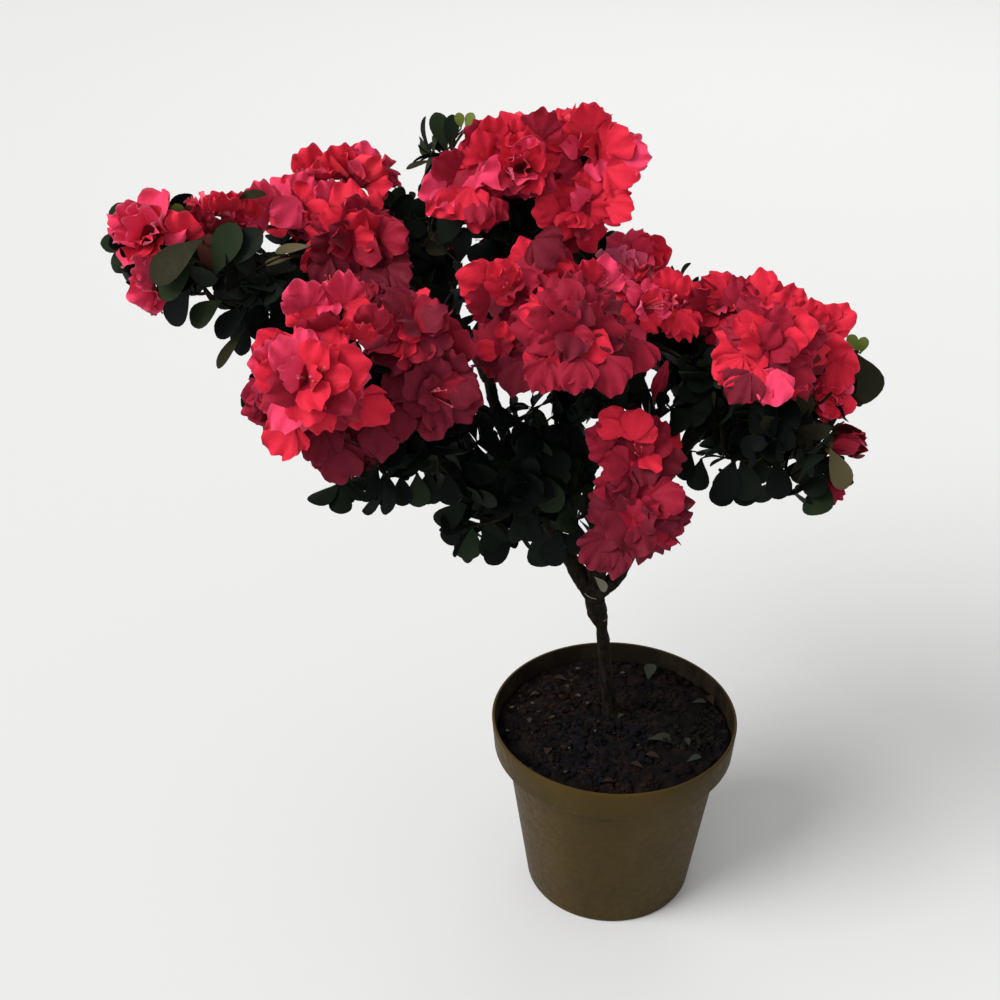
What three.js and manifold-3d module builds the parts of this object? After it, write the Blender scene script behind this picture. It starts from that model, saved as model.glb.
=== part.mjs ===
// Potted azalea shrub in flower: a round pot, its soil, the trunk and boughs, and masses of twigs, leaves and
// blooms.
// Millimetres, +Z up, +Y away from the front, origin at the centre of the pot's flat underside.
import * as THREE from "three";
import { mergeVertices } from "three/addons/utils/BufferGeometryUtils.js";
import Module from "manifold-3d";

const wasm = await Module();
wasm.setup();

// The pot
const POT_HEIGHT = 107.7;
const RIM_RADIUS = 65;
const RIM_ROUND = 0.8;
const COLLAR_HEIGHT = 17.6;
const COLLAR_FOOT_RADIUS = 63.7;
const COLLAR_STEP = 1.2;
const BODY_TOP_RADIUS = 57.2;
const BASE_RADIUS = 45;
const BASE_ROUND = 1.6;
const POT_WALL = 1.7;
const POT_FLOOR = 2.2;
const POT_SEGMENTS = 36;

// The soil
const SOIL_HEIGHT = 98.5;
const SOIL_EDGE_DROP = 1.5;
const SOIL_LEVEL_RADIUS = 48;
const FIT_GAP = 0.3;

// Trunk and boughs: corners round each and rings along it
const TRUNK_MESH = { sides: 8, rings: 10 };
const LEFT_MESH = { sides: 7, rings: 12 };
const RIGHT_MESH = { sides: 7, rings: 8 };
const BOUGH_MESH = { sides: 5, rings: 5 };
const BOUGH_RADII = [2.7, 2.3, 1.9];
const BOUGH_BEND_AT = 0.45;
const BOUGH_BEND = 0.12;
const GROUND_CUT = [60, 60, 30];

// Twigs
const STEM_RADII = [1.9, 1.35];
const STEM_MESH = { sides: 5, rings: 2 };
const MAIN_RADII = [1.35, 0.95];
const MAIN_MESH = { sides: 3, rings: 2 };
const MAIN_COUNT = 4;
const MAIN_SHARE = 0.42;
const MAIN_ROOTS = { from: 0.55, span: 0.4 };
const SHOOT_RADII = { foot: 0.95, middle: 0.855, tip: 0.76 };
const SHOOT_ROOTS = { low: 0.6, high: 0.95 };
const SHOOT_HEADING_AT = 0.9;
const SHOOT_SHARE = { low: 0.55, high: 0.72 };
const SHOOT_SPACING = 16;
const BLOOM_SPACING = 0.4;
const TWIG_BEND = 0.4;

// The directions that the seeded rule tries for its own shoots: how many, how near the stem's root one may
// point, and the share of the reach that has to be free
const TRIED_DIRECTIONS = { each: 3, extra: 8 };
const ROOTWARD_LIMIT = 0.85;
const FREE_SHARE = 0.9;

// Leaves, in whorls of five
const LEAF_LENGTH = 29;
const LEAF_BREADTH = 0.5;
const LEAF_WIDEST = 0.6;
const LEAF_ARCH = 0.06;
const LEAF_FOOT = 1.7;
const LEAF_HUB = 1.3;
const LEAF_SPREAD = { low: 0.85, high: 1.1 };
const SHORT_LEAF = 0.4;
const LEAVES_PER_WHORL = 5;
const TURN_SPREAD = 0.1;
const SHOOT_TILT = 58;
const COLLAR_TILT = 100;
const TILT_SPREAD = 12;

// Blooms, with sizes as shares of their width
const SMALL_BLOOM = 30;
const BLOOM_SEAT = 0.1;
const BLOOM_TURN = 0.8;
const PETAL_FOLD = 0.84;
const PETAL_WAVE = 0.14;
const BUD = { lobes: 5, radius: 0.48, height: 0.7, middle: 0.3, turn: 0 };
const OUTER_CUP = { lobes: 6, radius: 0.54, height: 0.16, turn: 0 };
const WAIST = { corners: 5, radius: 0.16, height: 0.15 };
const INNER_CUP = { lobes: 5, radius: 0.33, height: 0.36, middle: 0.2, turn: 0.2 };

// Points round each ring of a shoot's skin: four for each leaf
const SKIN_POINTS = 4 * LEAVES_PER_WHORL;

// Each mass's own space ends at this share of its reach, its stem starts at the entry share, and pieces of
// different masses keep the piece gap.
const SPACE_LIMIT = 1.25;
const ENTRY_SHARE = 0.5;
const PIECE_GAP = 0.25;

// The leaf sizes tried for a shoot or bloom. A loose bloom may lie over blooms of its own mass.
const TRIES = [
  { size: 1 },
  { size: 0.95 },
  { size: 0.85 },
  { size: 0.4, loose: true },
  { size: 0.75 },
  { size: 0.65 },
];

// Steps between the seeds of masses, and between those of the ends in one mass
const MASS_SEED_STEP = 1009;
const END_SEED_STEP = 37;

// Open air round the bare stem between the front left and centre masses
const CLEARING = { centre: [-66, 0, 300], reach: [17, 70, 21] };

const vector = (x, y, z) => new THREE.Vector3(x, y, z);
const radians = (degrees) => (degrees * Math.PI) / 180;

// A seeded draw: the same seed always gives the same plant.
let state = 1;
function sow(seed) {
  state = seed;
  for (let i = 0; i < 4; i++) draw(0, 1);
}
function draw(low, high) {
  state = (state * 48271) % 2147483647;
  return low + ((high - low) * state) / 2147483647;
}

// A closed solid of a geometry, with the triangles that merging makes flat left out.
function solidOf(geometry) {
  const bare = new THREE.BufferGeometry();
  const source = geometry.index ? geometry.toNonIndexed() : geometry;
  bare.setAttribute("position", source.getAttribute("position"));
  const merged = mergeVertices(bare, 1e-4);
  const triVerts = [];
  const index = merged.index.array;
  for (let i = 0; i < index.length; i += 3) {
    const [a, b, c] = [index[i], index[i + 1], index[i + 2]];
    if (a !== b && b !== c && c !== a) triVerts.push(a, b, c);
  }
  return new wasm.Manifold(
    new wasm.Mesh({
      numProp: 3,
      vertProperties: new Float32Array(merged.attributes.position.array),
      triVerts: new Uint32Array(triVerts),
    }),
  );
}

// The biggest body of a fused solid: loose scraps and sealed hollows go.
function biggestBody(solid) {
  const bodies = solid.decompose().filter((body) => body.volume() > 0);
  return bodies.sort((a, b) => b.volume() - a.volume())[0];
}

function meshOf(name, solid, look) {
  const made = solid.getMesh();
  const geometry = new THREE.BufferGeometry();
  geometry.setAttribute(
    "position",
    new THREE.BufferAttribute(made.vertProperties, 3),
  );
  geometry.setIndex(new THREE.BufferAttribute(made.triVerts, 1));
  const mesh = new THREE.Mesh(geometry, new THREE.MeshStandardMaterial(look));
  mesh.name = name;
  return mesh;
}

// The frames along a curve, root to tip: the middle, the axis and two directions square to it.
function framesAlong(curve, steps) {
  const frames = [];
  let side = null;
  for (let step = 0; step <= steps; step++) {
    const axis = curve.getTangent(step / steps);
    if (!side) side = Math.abs(axis.z) < 0.9 ? vector(0, 0, 1) : vector(0, 1, 0);
    side.addScaledVector(axis, -side.dot(axis)).normalize();
    frames.push({
      spot: curve.getPoint(step / steps),
      axis,
      side: side.clone(),
      other: axis.clone().cross(side),
    });
  }
  return frames;
}

function inFrame(frame, { angle, radius, height }) {
  return frame.spot
    .clone()
    .addScaledVector(frame.axis, height)
    .addScaledVector(frame.side, radius * Math.cos(angle))
    .addScaledVector(frame.other, radius * Math.sin(angle));
}

// A round tapering limb along a curve: a cylinder bent ring by ring, its radii spread evenly along it.
function taperedTube(curve, radii, { sides, rings }) {
  const geometry = new THREE.CylinderGeometry(1, 1, 1, sides, rings);
  const frames = framesAlong(curve, rings);
  const position = geometry.getAttribute("position");
  for (let i = 0; i < position.count; i++) {
    const share = position.getY(i) + 0.5;
    const place = share * (radii.length - 1);
    const before = Math.min(Math.floor(place), radii.length - 2);
    const [thick, thin] = [radii[before], radii[before + 1]];
    const [x, z] = [position.getX(i), position.getZ(i)];
    const spot = inFrame(frames[Math.round(share * rings)], {
      angle: Math.atan2(x, z),
      radius: Math.hypot(x, z) * THREE.MathUtils.lerp(thick, thin, place - before),
      height: 0,
    });
    position.setXYZ(i, spot.x, spot.y, spot.z);
  }
  return solidOf(geometry);
}

function smoothCurve(points) {
  return new THREE.CatmullRomCurve3(points, false, "catmullrom", 0.5);
}

// A closed skin over a chain of rings, root to tip. Each ring gives the place of its points in its frame, and
// points that share a place merge, so a ring may have fewer corners than its neighbours.
function skin(rings) {
  const geometry = new THREE.SphereGeometry(1, SKIN_POINTS, rings.length - 1);
  const position = geometry.getAttribute("position");
  for (let i = 0; i < position.count; i++) {
    const ring = rings[Math.floor(i / (SKIN_POINTS + 1))];
    const point = (SKIN_POINTS - (i % (SKIN_POINTS + 1))) % SKIN_POINTS;
    const spot = inFrame(ring.frame, ring.place(point));
    position.setXYZ(i, spot.x, spot.y, spot.z);
  }
  return solidOf(geometry);
}

// A ring with a few corners, and a pole, which is a ring with none.
function corners(frame, count, radius, height) {
  const place = (point) => {
    const corner = Math.floor((point * count) / SKIN_POINTS);
    return { angle: (corner * 2 * Math.PI) / count, radius, height };
  };
  return { frame, place };
}
function pole(frame, height) {
  return { frame, place: () => ({ angle: 0, radius: 0, height }) };
}

// The rim of a whorl of five leaves: for each its shoulder, tip, other shoulder and the foot beside the next.
function leafRim(frame, leaves) {
  const place = (point) => {
    const leaf = leaves[Math.floor(point / 4)];
    const next = leaves[(Math.floor(point / 4) + 1) % leaves.length];
    const out = Math.sin(leaf.tilt) * leaf.length;
    const along = Math.cos(leaf.tilt) * leaf.length;
    const half = (LEAF_BREADTH * leaf.length) / 2;
    const spread = Math.atan2(half, LEAF_WIDEST * out);
    const shoulder = {
      radius: Math.hypot(half, LEAF_WIDEST * out),
      height: LEAF_WIDEST * along + LEAF_ARCH * leaf.length,
    };
    const gap = (next.angle - leaf.angle + 2 * Math.PI) % (2 * Math.PI);
    return [
      { angle: leaf.angle - spread, ...shoulder },
      { angle: leaf.angle, radius: out, height: along - LEAF_ARCH * leaf.length },
      { angle: leaf.angle + spread, ...shoulder },
      { angle: leaf.angle + gap / 2, radius: LEAF_FOOT, height: 0 },
    ][point % 4];
  };
  return { frame, place };
}

// The wavy rim of a whorl of petals, its lobes further out and its folds further up.
function petalRim(frame, whorl, width) {
  const [radius, height] = [whorl.radius * width, whorl.height * width];
  const place = (point) => {
    const corner = Math.floor((point * 2 * whorl.lobes) / SKIN_POINTS);
    const fold = corner % 2;
    return {
      angle: (corner * Math.PI) / whorl.lobes + whorl.turn,
      radius: fold ? PETAL_FOLD * radius : radius,
      height: fold ? height + PETAL_WAVE * radius : height,
    };
  };
  return { frame, place };
}

// The rings past a shoot's leaves: an upper middle, or the cups of a bloom.
function headRings(frame, width) {
  if (!width) return [pole(frame, LEAF_HUB)];
  const neck = corners(frame, 3, LEAF_FOOT, LEAF_HUB);
  if (width < SMALL_BLOOM)
    return [neck, petalRim(frame, BUD, width), pole(frame, BUD.middle * width)];
  return [
    neck,
    petalRim(frame, OUTER_CUP, width),
    corners(frame, WAIST.corners, WAIST.radius * width, WAIST.height * width),
    petalRim(frame, INNER_CUP, width),
    pole(frame, INNER_CUP.middle * width),
  ];
}

// Limbs that stand on their own: the trunk and the two limbs of its fork, each point with its radius.
const trunkPoints = [
  { at: [-0.6, 12.4, SOIL_HEIGHT - 5], radius: 8 },
  { at: [-1, 12, SOIL_HEIGHT], radius: 6 },
  { at: [-1.8, 11, 107], radius: 4.3 },
  { at: [-5, 8, 132], radius: 3.4 },
  { at: [-8, 4.5, 160], radius: 3.2 },
  { at: [-11.4, 1.5, 174], radius: 5.6 },
  { at: [-12.6, -1, 183], radius: 5.8 },
];
const leftLimbPoints = [
  { at: [-12.6, -1, 183], radius: 4.8 },
  { at: [-25.4, -5, 208], radius: 4.3 },
  { at: [-44, -4, 244], radius: 3.5 },
  { at: [-61, 0, 284], radius: 2.9 },
  { at: [-70, 4, 318], radius: 2.6 },
  { at: [-92, 14, 340], radius: 2.4 },
  { at: [-116, 24, 356], radius: 2.2 },
];
const rightLimbPoints = [
  { at: [-12.6, -1, 183], radius: 4.2 },
  { at: [-1.2, -4, 200], radius: 3.9 },
  { at: [12, -6, 234], radius: 3.3 },
  { at: [22, -8, 264], radius: 2.9 },
  { at: [38, -12, 290], radius: 2.4 },
];

// Masses. Each names its limb and the share of the limb's length where its bough leaves (1 is the limb's own
// tip), the centre and reach of its space, its blooms as place and width, the marked shoots that carry its
// outline, the number of shoots that the seeded rule adds, and its seed.
const masses = [
  {
    name: "upper_left",
    limb: "left",
    share: 1,
    centre: [-137, 26, 376],
    reach: [44, 42, 34],
    blooms: [[-145, 40, 393, 23], [-124, 42, 393, 34], [-156, 18, 385, 40], [-125, 0, 375, 50]],
    tips: [[-108, 38, 374], [-157, 2, 366]],
    shoots: 4,
    seed: 31,
  },
  {
    name: "right",
    limb: "right",
    share: 1,
    centre: [68, -20, 312],
    reach: [50, 44, 54],
    blooms: [[36, -10, 349, 38], [54, -52, 348, 55], [81, -15, 340, 39], [99, -25, 287, 21]],
    tips: [
      [39, -36, 301],
      [48, -34, 275],
      [70, -34, 270],
      [86, -38, 276],
      [104, -12, 311],
      [98, 0, 324],
    ],
    shoots: 4,
    seed: 12,
  },
  {
    name: "far_left",
    limb: "left",
    share: 0.72,
    centre: [-192, -14, 368],
    reach: [44, 40, 42],
    blooms: [[-214, -25, 389, 31], [-215, -25, 358, 18], [-187, -8, 394, 18]],
    tips: [[-196, -38, 378], [-174, -36, 385], [-197, -18, 357], [-178, -12, 346], [-176, 5, 386]],
    shoots: 3,
    seed: 13,
  },
  {
    name: "front_left",
    limb: "left",
    share: 0.5,
    centre: [-112, -74, 334],
    reach: [50, 42, 52],
    blooms: [
      [-136, -105, 358, 56],
      [-128, -88, 318, 41],
      [-131, -55, 376, 32],
      [-93, -72, 368, 46],
      [-87, -85, 342, 42],
    ],
    tips: [[-130, -72, 291], [-109, -70, 292], [-88, -66, 290]],
    shoots: 4,
    seed: 14,
  },
  {
    name: "lower_centre",
    limb: "left",
    share: 0.3,
    centre: [-56, -32, 268],
    reach: [40, 32, 44],
    blooms: [],
    tips: [[-77, -45, 252], [-55, -40, 246], [-32, -30, 240], [-41, -42, 298], [-74, -35, 288]],
    shoots: 8,
    seed: 15,
  },
  {
    name: "top",
    limb: "right",
    share: 0.5,
    bend: [2, 12, 12],
    centre: [-50, 28, 394],
    reach: [54, 42, 36],
    blooms: [[-20, 15, 409, 55], [-72, 15, 403, 47], [-21, 0, 388, 41], [-51, -4, 409, 26]],
    tips: [[-85, 42, 402], [-92, 30, 374], [-55, 18, 385]],
    shoots: 4,
    seed: 16,
  },
  {
    name: "centre",
    limb: "right",
    share: 0.62,
    centre: [-30, -26, 344],
    reach: [54, 42, 42],
    blooms: [
      [-56, -32, 367, 42],
      [-31, -62, 357, 59],
      [5, -28, 356, 37],
      [-15, -20, 363, 35],
      [0, 22, 350, 29],
    ],
    tips: [[-84, -5, 352], [-16, -38, 315], [24, -30, 329]],
    shoots: 3,
    seed: 17,
  },
  {
    name: "low_front",
    limb: "right",
    share: 0.22,
    centre: [2, -58, 276],
    reach: [30, 30, 44],
    blooms: [[0, -60, 302, 43], [-3, -74, 275, 52]],
    tips: [[-18, -50, 244]],
    shoots: 4,
    seed: 18,
  },
  {
    name: "back_left",
    limb: "left",
    share: 0.6,
    centre: [-112, 88, 326],
    reach: [42, 38, 32],
    blooms: [[-116, 116, 338, 42], [-144, 84, 336, 36], [-84, 98, 334, 36]],
    tips: [],
    shoots: 6,
    seed: 19,
  },
  {
    name: "back_right",
    limb: "right",
    share: 0.7,
    centre: [-34, 88, 332],
    reach: [44, 38, 34],
    blooms: [[-36, 118, 346, 46], [-4, 98, 334, 34], [-68, 98, 336, 34]],
    tips: [],
    shoots: 6,
    seed: 20,
  },
  {
    name: "back_far_right",
    limb: "right",
    share: 0.82,
    centre: [46, 52, 306],
    reach: [40, 34, 32],
    blooms: [[50, 72, 312, 42], [76, 56, 314, 36]],
    tips: [],
    shoots: 6,
    seed: 21,
  },
];

const limbCurve = (points) => smoothCurve(points.map((p) => vector(...p.at)));
const curves = {
  trunk: limbCurve(trunkPoints),
  left: limbCurve(leftLimbPoints),
  right: limbCurve(rightLimbPoints),
};

function limbSolid(curve, points, mesh, extra = 0) {
  const radii = points.map((p) => p.radius + extra);
  return taperedTube(curve, radii, mesh);
}

// The part of a limb left when the limb it grows from, grown by the fit gap, is cut away.
function cutBy(limb, parentGrown) {
  return biggestBody(limb.subtract(parentGrown));
}

// Where a point stands in a mass's space: 0 at the centre, 1 at the reach.
function shareOfReach(space, spot) {
  return Math.hypot(
    (spot.x - space.centre[0]) / space.reach[0],
    (spot.y - space.centre[1]) / space.reach[1],
    (spot.z - space.centre[2]) / space.reach[2],
  );
}

function inReach(space, direction, share) {
  return vector(
    space.centre[0] + direction.x * space.reach[0] * share,
    space.centre[1] + direction.y * space.reach[1] * share,
    space.centre[2] + direction.z * space.reach[2] * share,
  );
}

// Directions spread evenly over the sphere, turned by the seed.
function spreadDirections(count, turn) {
  const golden = Math.PI * (3 - Math.sqrt(5));
  return Array.from({ length: count }, (_, i) => {
    const height = 1 - (2 * i + 1) / count;
    const level = Math.sqrt(1 - height * height);
    const angle = golden * i + turn;
    return vector(level * Math.cos(angle), level * Math.sin(angle), height);
  });
}

// The bough that carries a mass, and where it heads as the mass's own stem takes over.
function boughOf(mass) {
  const centre = vector(...mass.centre);
  const limb = curves[mass.limb];
  const start = limb.getPoint(mass.share);
  const along = limb.getTangent(mass.share);
  if (mass.share === 1) return { entry: start, heading: along, centre };
  const inside = ENTRY_SHARE / shareOfReach(mass, start);
  const entry = centre.clone().lerp(start, Math.min(1, inside));
  const middle = start
    .clone()
    .lerp(entry, BOUGH_BEND_AT)
    .addScaledVector(along, BOUGH_BEND * entry.distanceTo(start))
    .add(vector(...(mass.bend || [0, 0, 0])));
  const curve = smoothCurve([start, middle, entry]);
  return { entry, heading: curve.getTangent(1), centre, curve };
}

const BARK = { color: "#3f3023", roughness: 0.9, metalness: 0 };
const FOLIAGE = { color: "#7c3140", roughness: 0.7, metalness: 0 };
const plant = new THREE.Group();

const ground = new THREE.BoxGeometry(...GROUND_CUT);
ground.translate(0, 0, SOIL_HEIGHT + FIT_GAP - GROUND_CUT[2] / 2);
const trunk = cutBy(
  limbSolid(curves.trunk, trunkPoints, TRUNK_MESH),
  solidOf(ground),
);
const trunkGrown = limbSolid(curves.trunk, trunkPoints, TRUNK_MESH, FIT_GAP);
const leftGrown = limbSolid(curves.left, leftLimbPoints, LEFT_MESH, FIT_GAP);
const rightGrown = limbSolid(curves.right, rightLimbPoints, RIGHT_MESH, FIT_GAP);
const leftLimb = cutBy(
  limbSolid(curves.left, leftLimbPoints, LEFT_MESH),
  trunkGrown,
);
const rightLimb = cutBy(
  limbSolid(curves.right, rightLimbPoints, RIGHT_MESH),
  trunkGrown.add(leftGrown),
);
const grownLimbs = {
  left: leftGrown.add(trunkGrown),
  right: rightGrown.add(trunkGrown),
};
const limbs = { trunk, left_limb: leftLimb, right_limb: rightLimb };
for (const mass of masses) {
  mass.bough = boughOf(mass);
  if (!mass.bough.curve) continue;
  const whole = taperedTube(mass.bough.curve, BOUGH_RADII, BOUGH_MESH);
  limbs["bough_" + mass.name] = cutBy(whole, grownLimbs[mass.limb]);
}
for (const [name, solid] of Object.entries(limbs))
  plant.add(meshOf(name, solid, BARK));

// Pieces already grown, by mass, so that no mass touches a limb or a neighbour. A piece with a head, its
// leaves and petals, keeps them clear of its own mass's other pieces too, and its twig clear of their heads.
const grownPieces = new Map(masses.map((mass) => [mass, []]));
const boxed = (solid) => ({ solid, box: solid.boundingBox() });
const limbPieces = Object.values(limbs).map(boxed);

function near(a, b) {
  return [0, 1, 2].every(
    (axis) =>
      a.min[axis] <= b.max[axis] + PIECE_GAP &&
      b.min[axis] <= a.max[axis] + PIECE_GAP,
  );
}

function clear(piece, other) {
  return (
    !near(piece.box, other.box) ||
    piece.solid.minGap(other.solid, 2 * PIECE_GAP) >= PIECE_GAP
  );
}

function standsClear(mass, whole, head, stalk, loose) {
  if (!limbPieces.every((limb) => clear(whole, limb))) return false;
  for (const [other, pieces] of grownPieces)
    for (const piece of pieces) {
      if (other !== mass) {
        if (!clear(whole, piece.whole)) return false;
      } else if (head && !loose) {
        if (!clear(head, piece.head || piece.whole)) return false;
        if (piece.head && !clear(head, piece.stalk)) return false;
        if (piece.head && !clear(stalk, piece.head)) return false;
      }
    }
  return true;
}

// Adds a piece to its mass when it stands clear, and says whether it did.
function grow(mass, solid, headSolid, stalkSolid, loose) {
  const whole = boxed(solid);
  const head = headSolid && boxed(headSolid);
  const stalk = stalkSolid && boxed(stalkSolid);
  const fits = standsClear(mass, whole, head, stalk, loose);
  if (fits) grownPieces.get(mass).push({ whole, head, stalk });
  return fits;
}

// Leaves keep to the space that is more their mass's than any other's, and out of the clearing.
function leafFits(mass, spot) {
  const own = shareOfReach(mass, spot);
  return (
    own < SPACE_LIMIT &&
    shareOfReach(CLEARING, spot) > 1 &&
    masses.every((other) => other === mass || shareOfReach(other, spot) > own)
  );
}

// Five leaves round a twig's end. A leaf that would leave the space stays short.
function whorlLeaves(mass, frame, lean, size) {
  const first = draw(0, 2 * Math.PI);
  return Array.from({ length: LEAVES_PER_WHORL }, (_, i) => {
    const turn = first + (i * 2 * Math.PI) / LEAVES_PER_WHORL;
    const angle = turn + draw(-TURN_SPREAD, TURN_SPREAD);
    const tilt = radians(lean + draw(-TILT_SPREAD, TILT_SPREAD));
    const full = LEAF_LENGTH * size * draw(LEAF_SPREAD.low, LEAF_SPREAD.high);
    const reach = { radius: full * Math.sin(tilt), height: full * Math.cos(tilt) };
    const tip = inFrame(frame, { angle, ...reach });
    return { angle, tilt, length: leafFits(mass, tip) ? full : SHORT_LEAF * full };
  });
}

// A twig's curve: it leaves along the heading and bends to its end.
function twigCurve(from, heading, to) {
  const bend = TWIG_BEND * from.distanceTo(to);
  const elbow = from.clone().addScaledVector(heading, bend);
  return new THREE.QuadraticBezierCurve3(from, elbow, to);
}

// The stem of a mass, its main twigs, and the ends its shoots and blooms grow at.
function planMass(mass) {
  sow(mass.seed * MASS_SEED_STEP);
  const { entry, heading, centre } = mass.bough;
  const foot = entry.clone().addScaledVector(heading, FIT_GAP);
  const stemCurve = twigCurve(foot, heading, centre);
  mass.stem = taperedTube(stemCurve, STEM_RADII, STEM_MESH);
  const turn = draw(0, 2 * Math.PI);
  mass.mains = spreadDirections(MAIN_COUNT, turn).map((direction, i) => {
    const share = MAIN_ROOTS.from + (MAIN_ROOTS.span * i) / (MAIN_COUNT - 1);
    const to = inReach(mass, direction, MAIN_SHARE);
    const curve = twigCurve(stemCurve.getPoint(share), heading, to);
    return { direction, curve, solid: taperedTube(curve, MAIN_RADII, MAIN_MESH) };
  });
  const marked = [...mass.blooms, ...mass.tips];
  mass.ends = marked.map(([x, y, z, width = 0]) => ({
    place: vector(x, y, z),
    width,
  }));
  const away = heading.clone().negate();
  const tried = TRIED_DIRECTIONS.each * mass.shoots + TRIED_DIRECTIONS.extra;
  const open = spreadDirections(tried, turn + 1)
    .map((direction) => ({
      direction,
      place: inReach(mass, direction, draw(SHOOT_SHARE.low, SHOOT_SHARE.high)),
    }))
    .filter(
      ({ direction, place }) =>
        direction.dot(away) < ROOTWARD_LIMIT &&
        mass.ends.every(
          (end) =>
            end.place.distanceTo(place) > SHOOT_SPACING + BLOOM_SPACING * end.width,
        ) &&
        leafFits(mass, inReach(mass, direction, FREE_SHARE)),
    );
  const step = Math.max(1, open.length / mass.shoots);
  for (let i = 0; i < Math.min(mass.shoots, open.length); i++)
    mass.ends.push({ place: open[Math.floor(i * step)].place, width: 0 });
}

// A shoot or a bloom on its twig, tried at a few turns and sizes until it stands clear.
function growEnd(mass, end, index) {
  sow(mass.seed * MASS_SEED_STEP + END_SEED_STEP * (index + 1));
  const outward = end.place.clone().sub(mass.bough.centre).normalize();
  const main = mass.mains.reduce((best, item) =>
    item.direction.dot(outward) > best.direction.dot(outward) ? item : best,
  );
  const from = main.curve.getPoint(draw(SHOOT_ROOTS.low, SHOOT_ROOTS.high));
  const heading = main.curve.getTangent(SHOOT_HEADING_AT);
  const target = end.place.clone();
  target.addScaledVector(outward, -BLOOM_SEAT * end.width);
  const curve = twigCurve(from, heading, target);
  const frames = framesAlong(curve, 2);
  const tip = frames[2];
  if (end.width) {
    tip.axis = tip.axis.clone().lerp(outward, BLOOM_TURN).normalize();
    tip.side.addScaledVector(tip.axis, -tip.side.dot(tip.axis)).normalize();
    tip.other = tip.axis.clone().cross(tip.side);
  }
  const stalkRings = [
    pole(frames[0], 0),
    corners(frames[0], 3, SHOOT_RADII.foot, 0),
    corners(frames[1], 3, SHOOT_RADII.middle, 0),
    corners(tip, 3, SHOOT_RADII.tip, -LEAF_HUB),
  ];
  for (const { size, loose } of TRIES) {
    if (loose && !end.width) continue;
    const lean = end.width ? COLLAR_TILT : SHOOT_TILT;
    const leaves = whorlLeaves(mass, tip, lean, size);
    const head = [leafRim(tip, leaves), ...headRings(tip, end.width)];
    const whole = skin([...stalkRings, ...head]);
    const headOnly = skin([pole(tip, -LEAF_HUB), ...head]);
    const stalk = skin([...stalkRings, pole(tip, -LEAF_HUB)]);
    if (grow(mass, whole, headOnly, stalk, loose)) return;
  }
}

for (const mass of masses) planMass(mass);
for (const mass of masses) {
  grow(mass, mass.stem);
  for (const main of mass.mains) grow(mass, main.solid);
}
for (const blooming of [true, false])
  for (const mass of masses)
    mass.ends.forEach((end, index) => {
      if (blooming === end.width > 0) growEnd(mass, end, index);
    });
for (const mass of masses) {
  const pieces = grownPieces.get(mass).map((piece) => piece.whole.solid);
  const fused = biggestBody(wasm.Manifold.union(pieces));
  plant.add(meshOf("foliage_" + mass.name, fused, FOLIAGE));
}

// A solid turned round the upright axis from a profile of radius and height.
function turned(profile) {
  const points = profile.map(([radius, height]) => new THREE.Vector2(radius, height));
  const geometry = new THREE.LatheGeometry(points, POT_SEGMENTS);
  return solidOf(geometry.rotateX(Math.PI / 2));
}

const collarFoot = POT_HEIGHT - COLLAR_HEIGHT;
const shelf = collarFoot - 2 * COLLAR_STEP;
const inner = {
  collar: COLLAR_FOOT_RADIUS - POT_WALL,
  body: BODY_TOP_RADIUS - POT_WALL,
  base: BASE_RADIUS - POT_WALL,
};
const pot = turned([
  [0, 0],
  [BASE_RADIUS - BASE_ROUND, 0],
  [BASE_RADIUS, BASE_ROUND],
  [BODY_TOP_RADIUS, collarFoot - COLLAR_STEP],
  [COLLAR_FOOT_RADIUS, collarFoot],
  [RIM_RADIUS, POT_HEIGHT - RIM_ROUND],
  [RIM_RADIUS - RIM_ROUND, POT_HEIGHT],
  [RIM_RADIUS - POT_WALL, POT_HEIGHT - RIM_ROUND],
  [inner.collar, collarFoot + COLLAR_STEP],
  [inner.body, shelf],
  [inner.base, POT_FLOOR],
  [0, POT_FLOOR],
]);
const soil = turned([
  [0, POT_FLOOR + FIT_GAP],
  [inner.base - 2 * FIT_GAP, POT_FLOOR + FIT_GAP],
  [inner.body - 2 * FIT_GAP, shelf],
  [inner.collar - 2 * FIT_GAP, collarFoot + COLLAR_STEP],
  [inner.collar - FIT_GAP, SOIL_HEIGHT - SOIL_EDGE_DROP],
  [SOIL_LEVEL_RADIUS, SOIL_HEIGHT],
  [0, SOIL_HEIGHT],
]);
const potted = new THREE.Group();
potted.add(meshOf("pot", pot, { color: "#5f5230", roughness: 0.55, metalness: 0 }));
potted.add(
  meshOf("potting_soil", soil, { color: "#241c17", roughness: 1, metalness: 0 }),
);

const shrub = new THREE.Group();
shrub.name = "potted_azalea_shrub";
shrub.add(potted, plant);
export default shrub;
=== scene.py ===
import math

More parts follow.
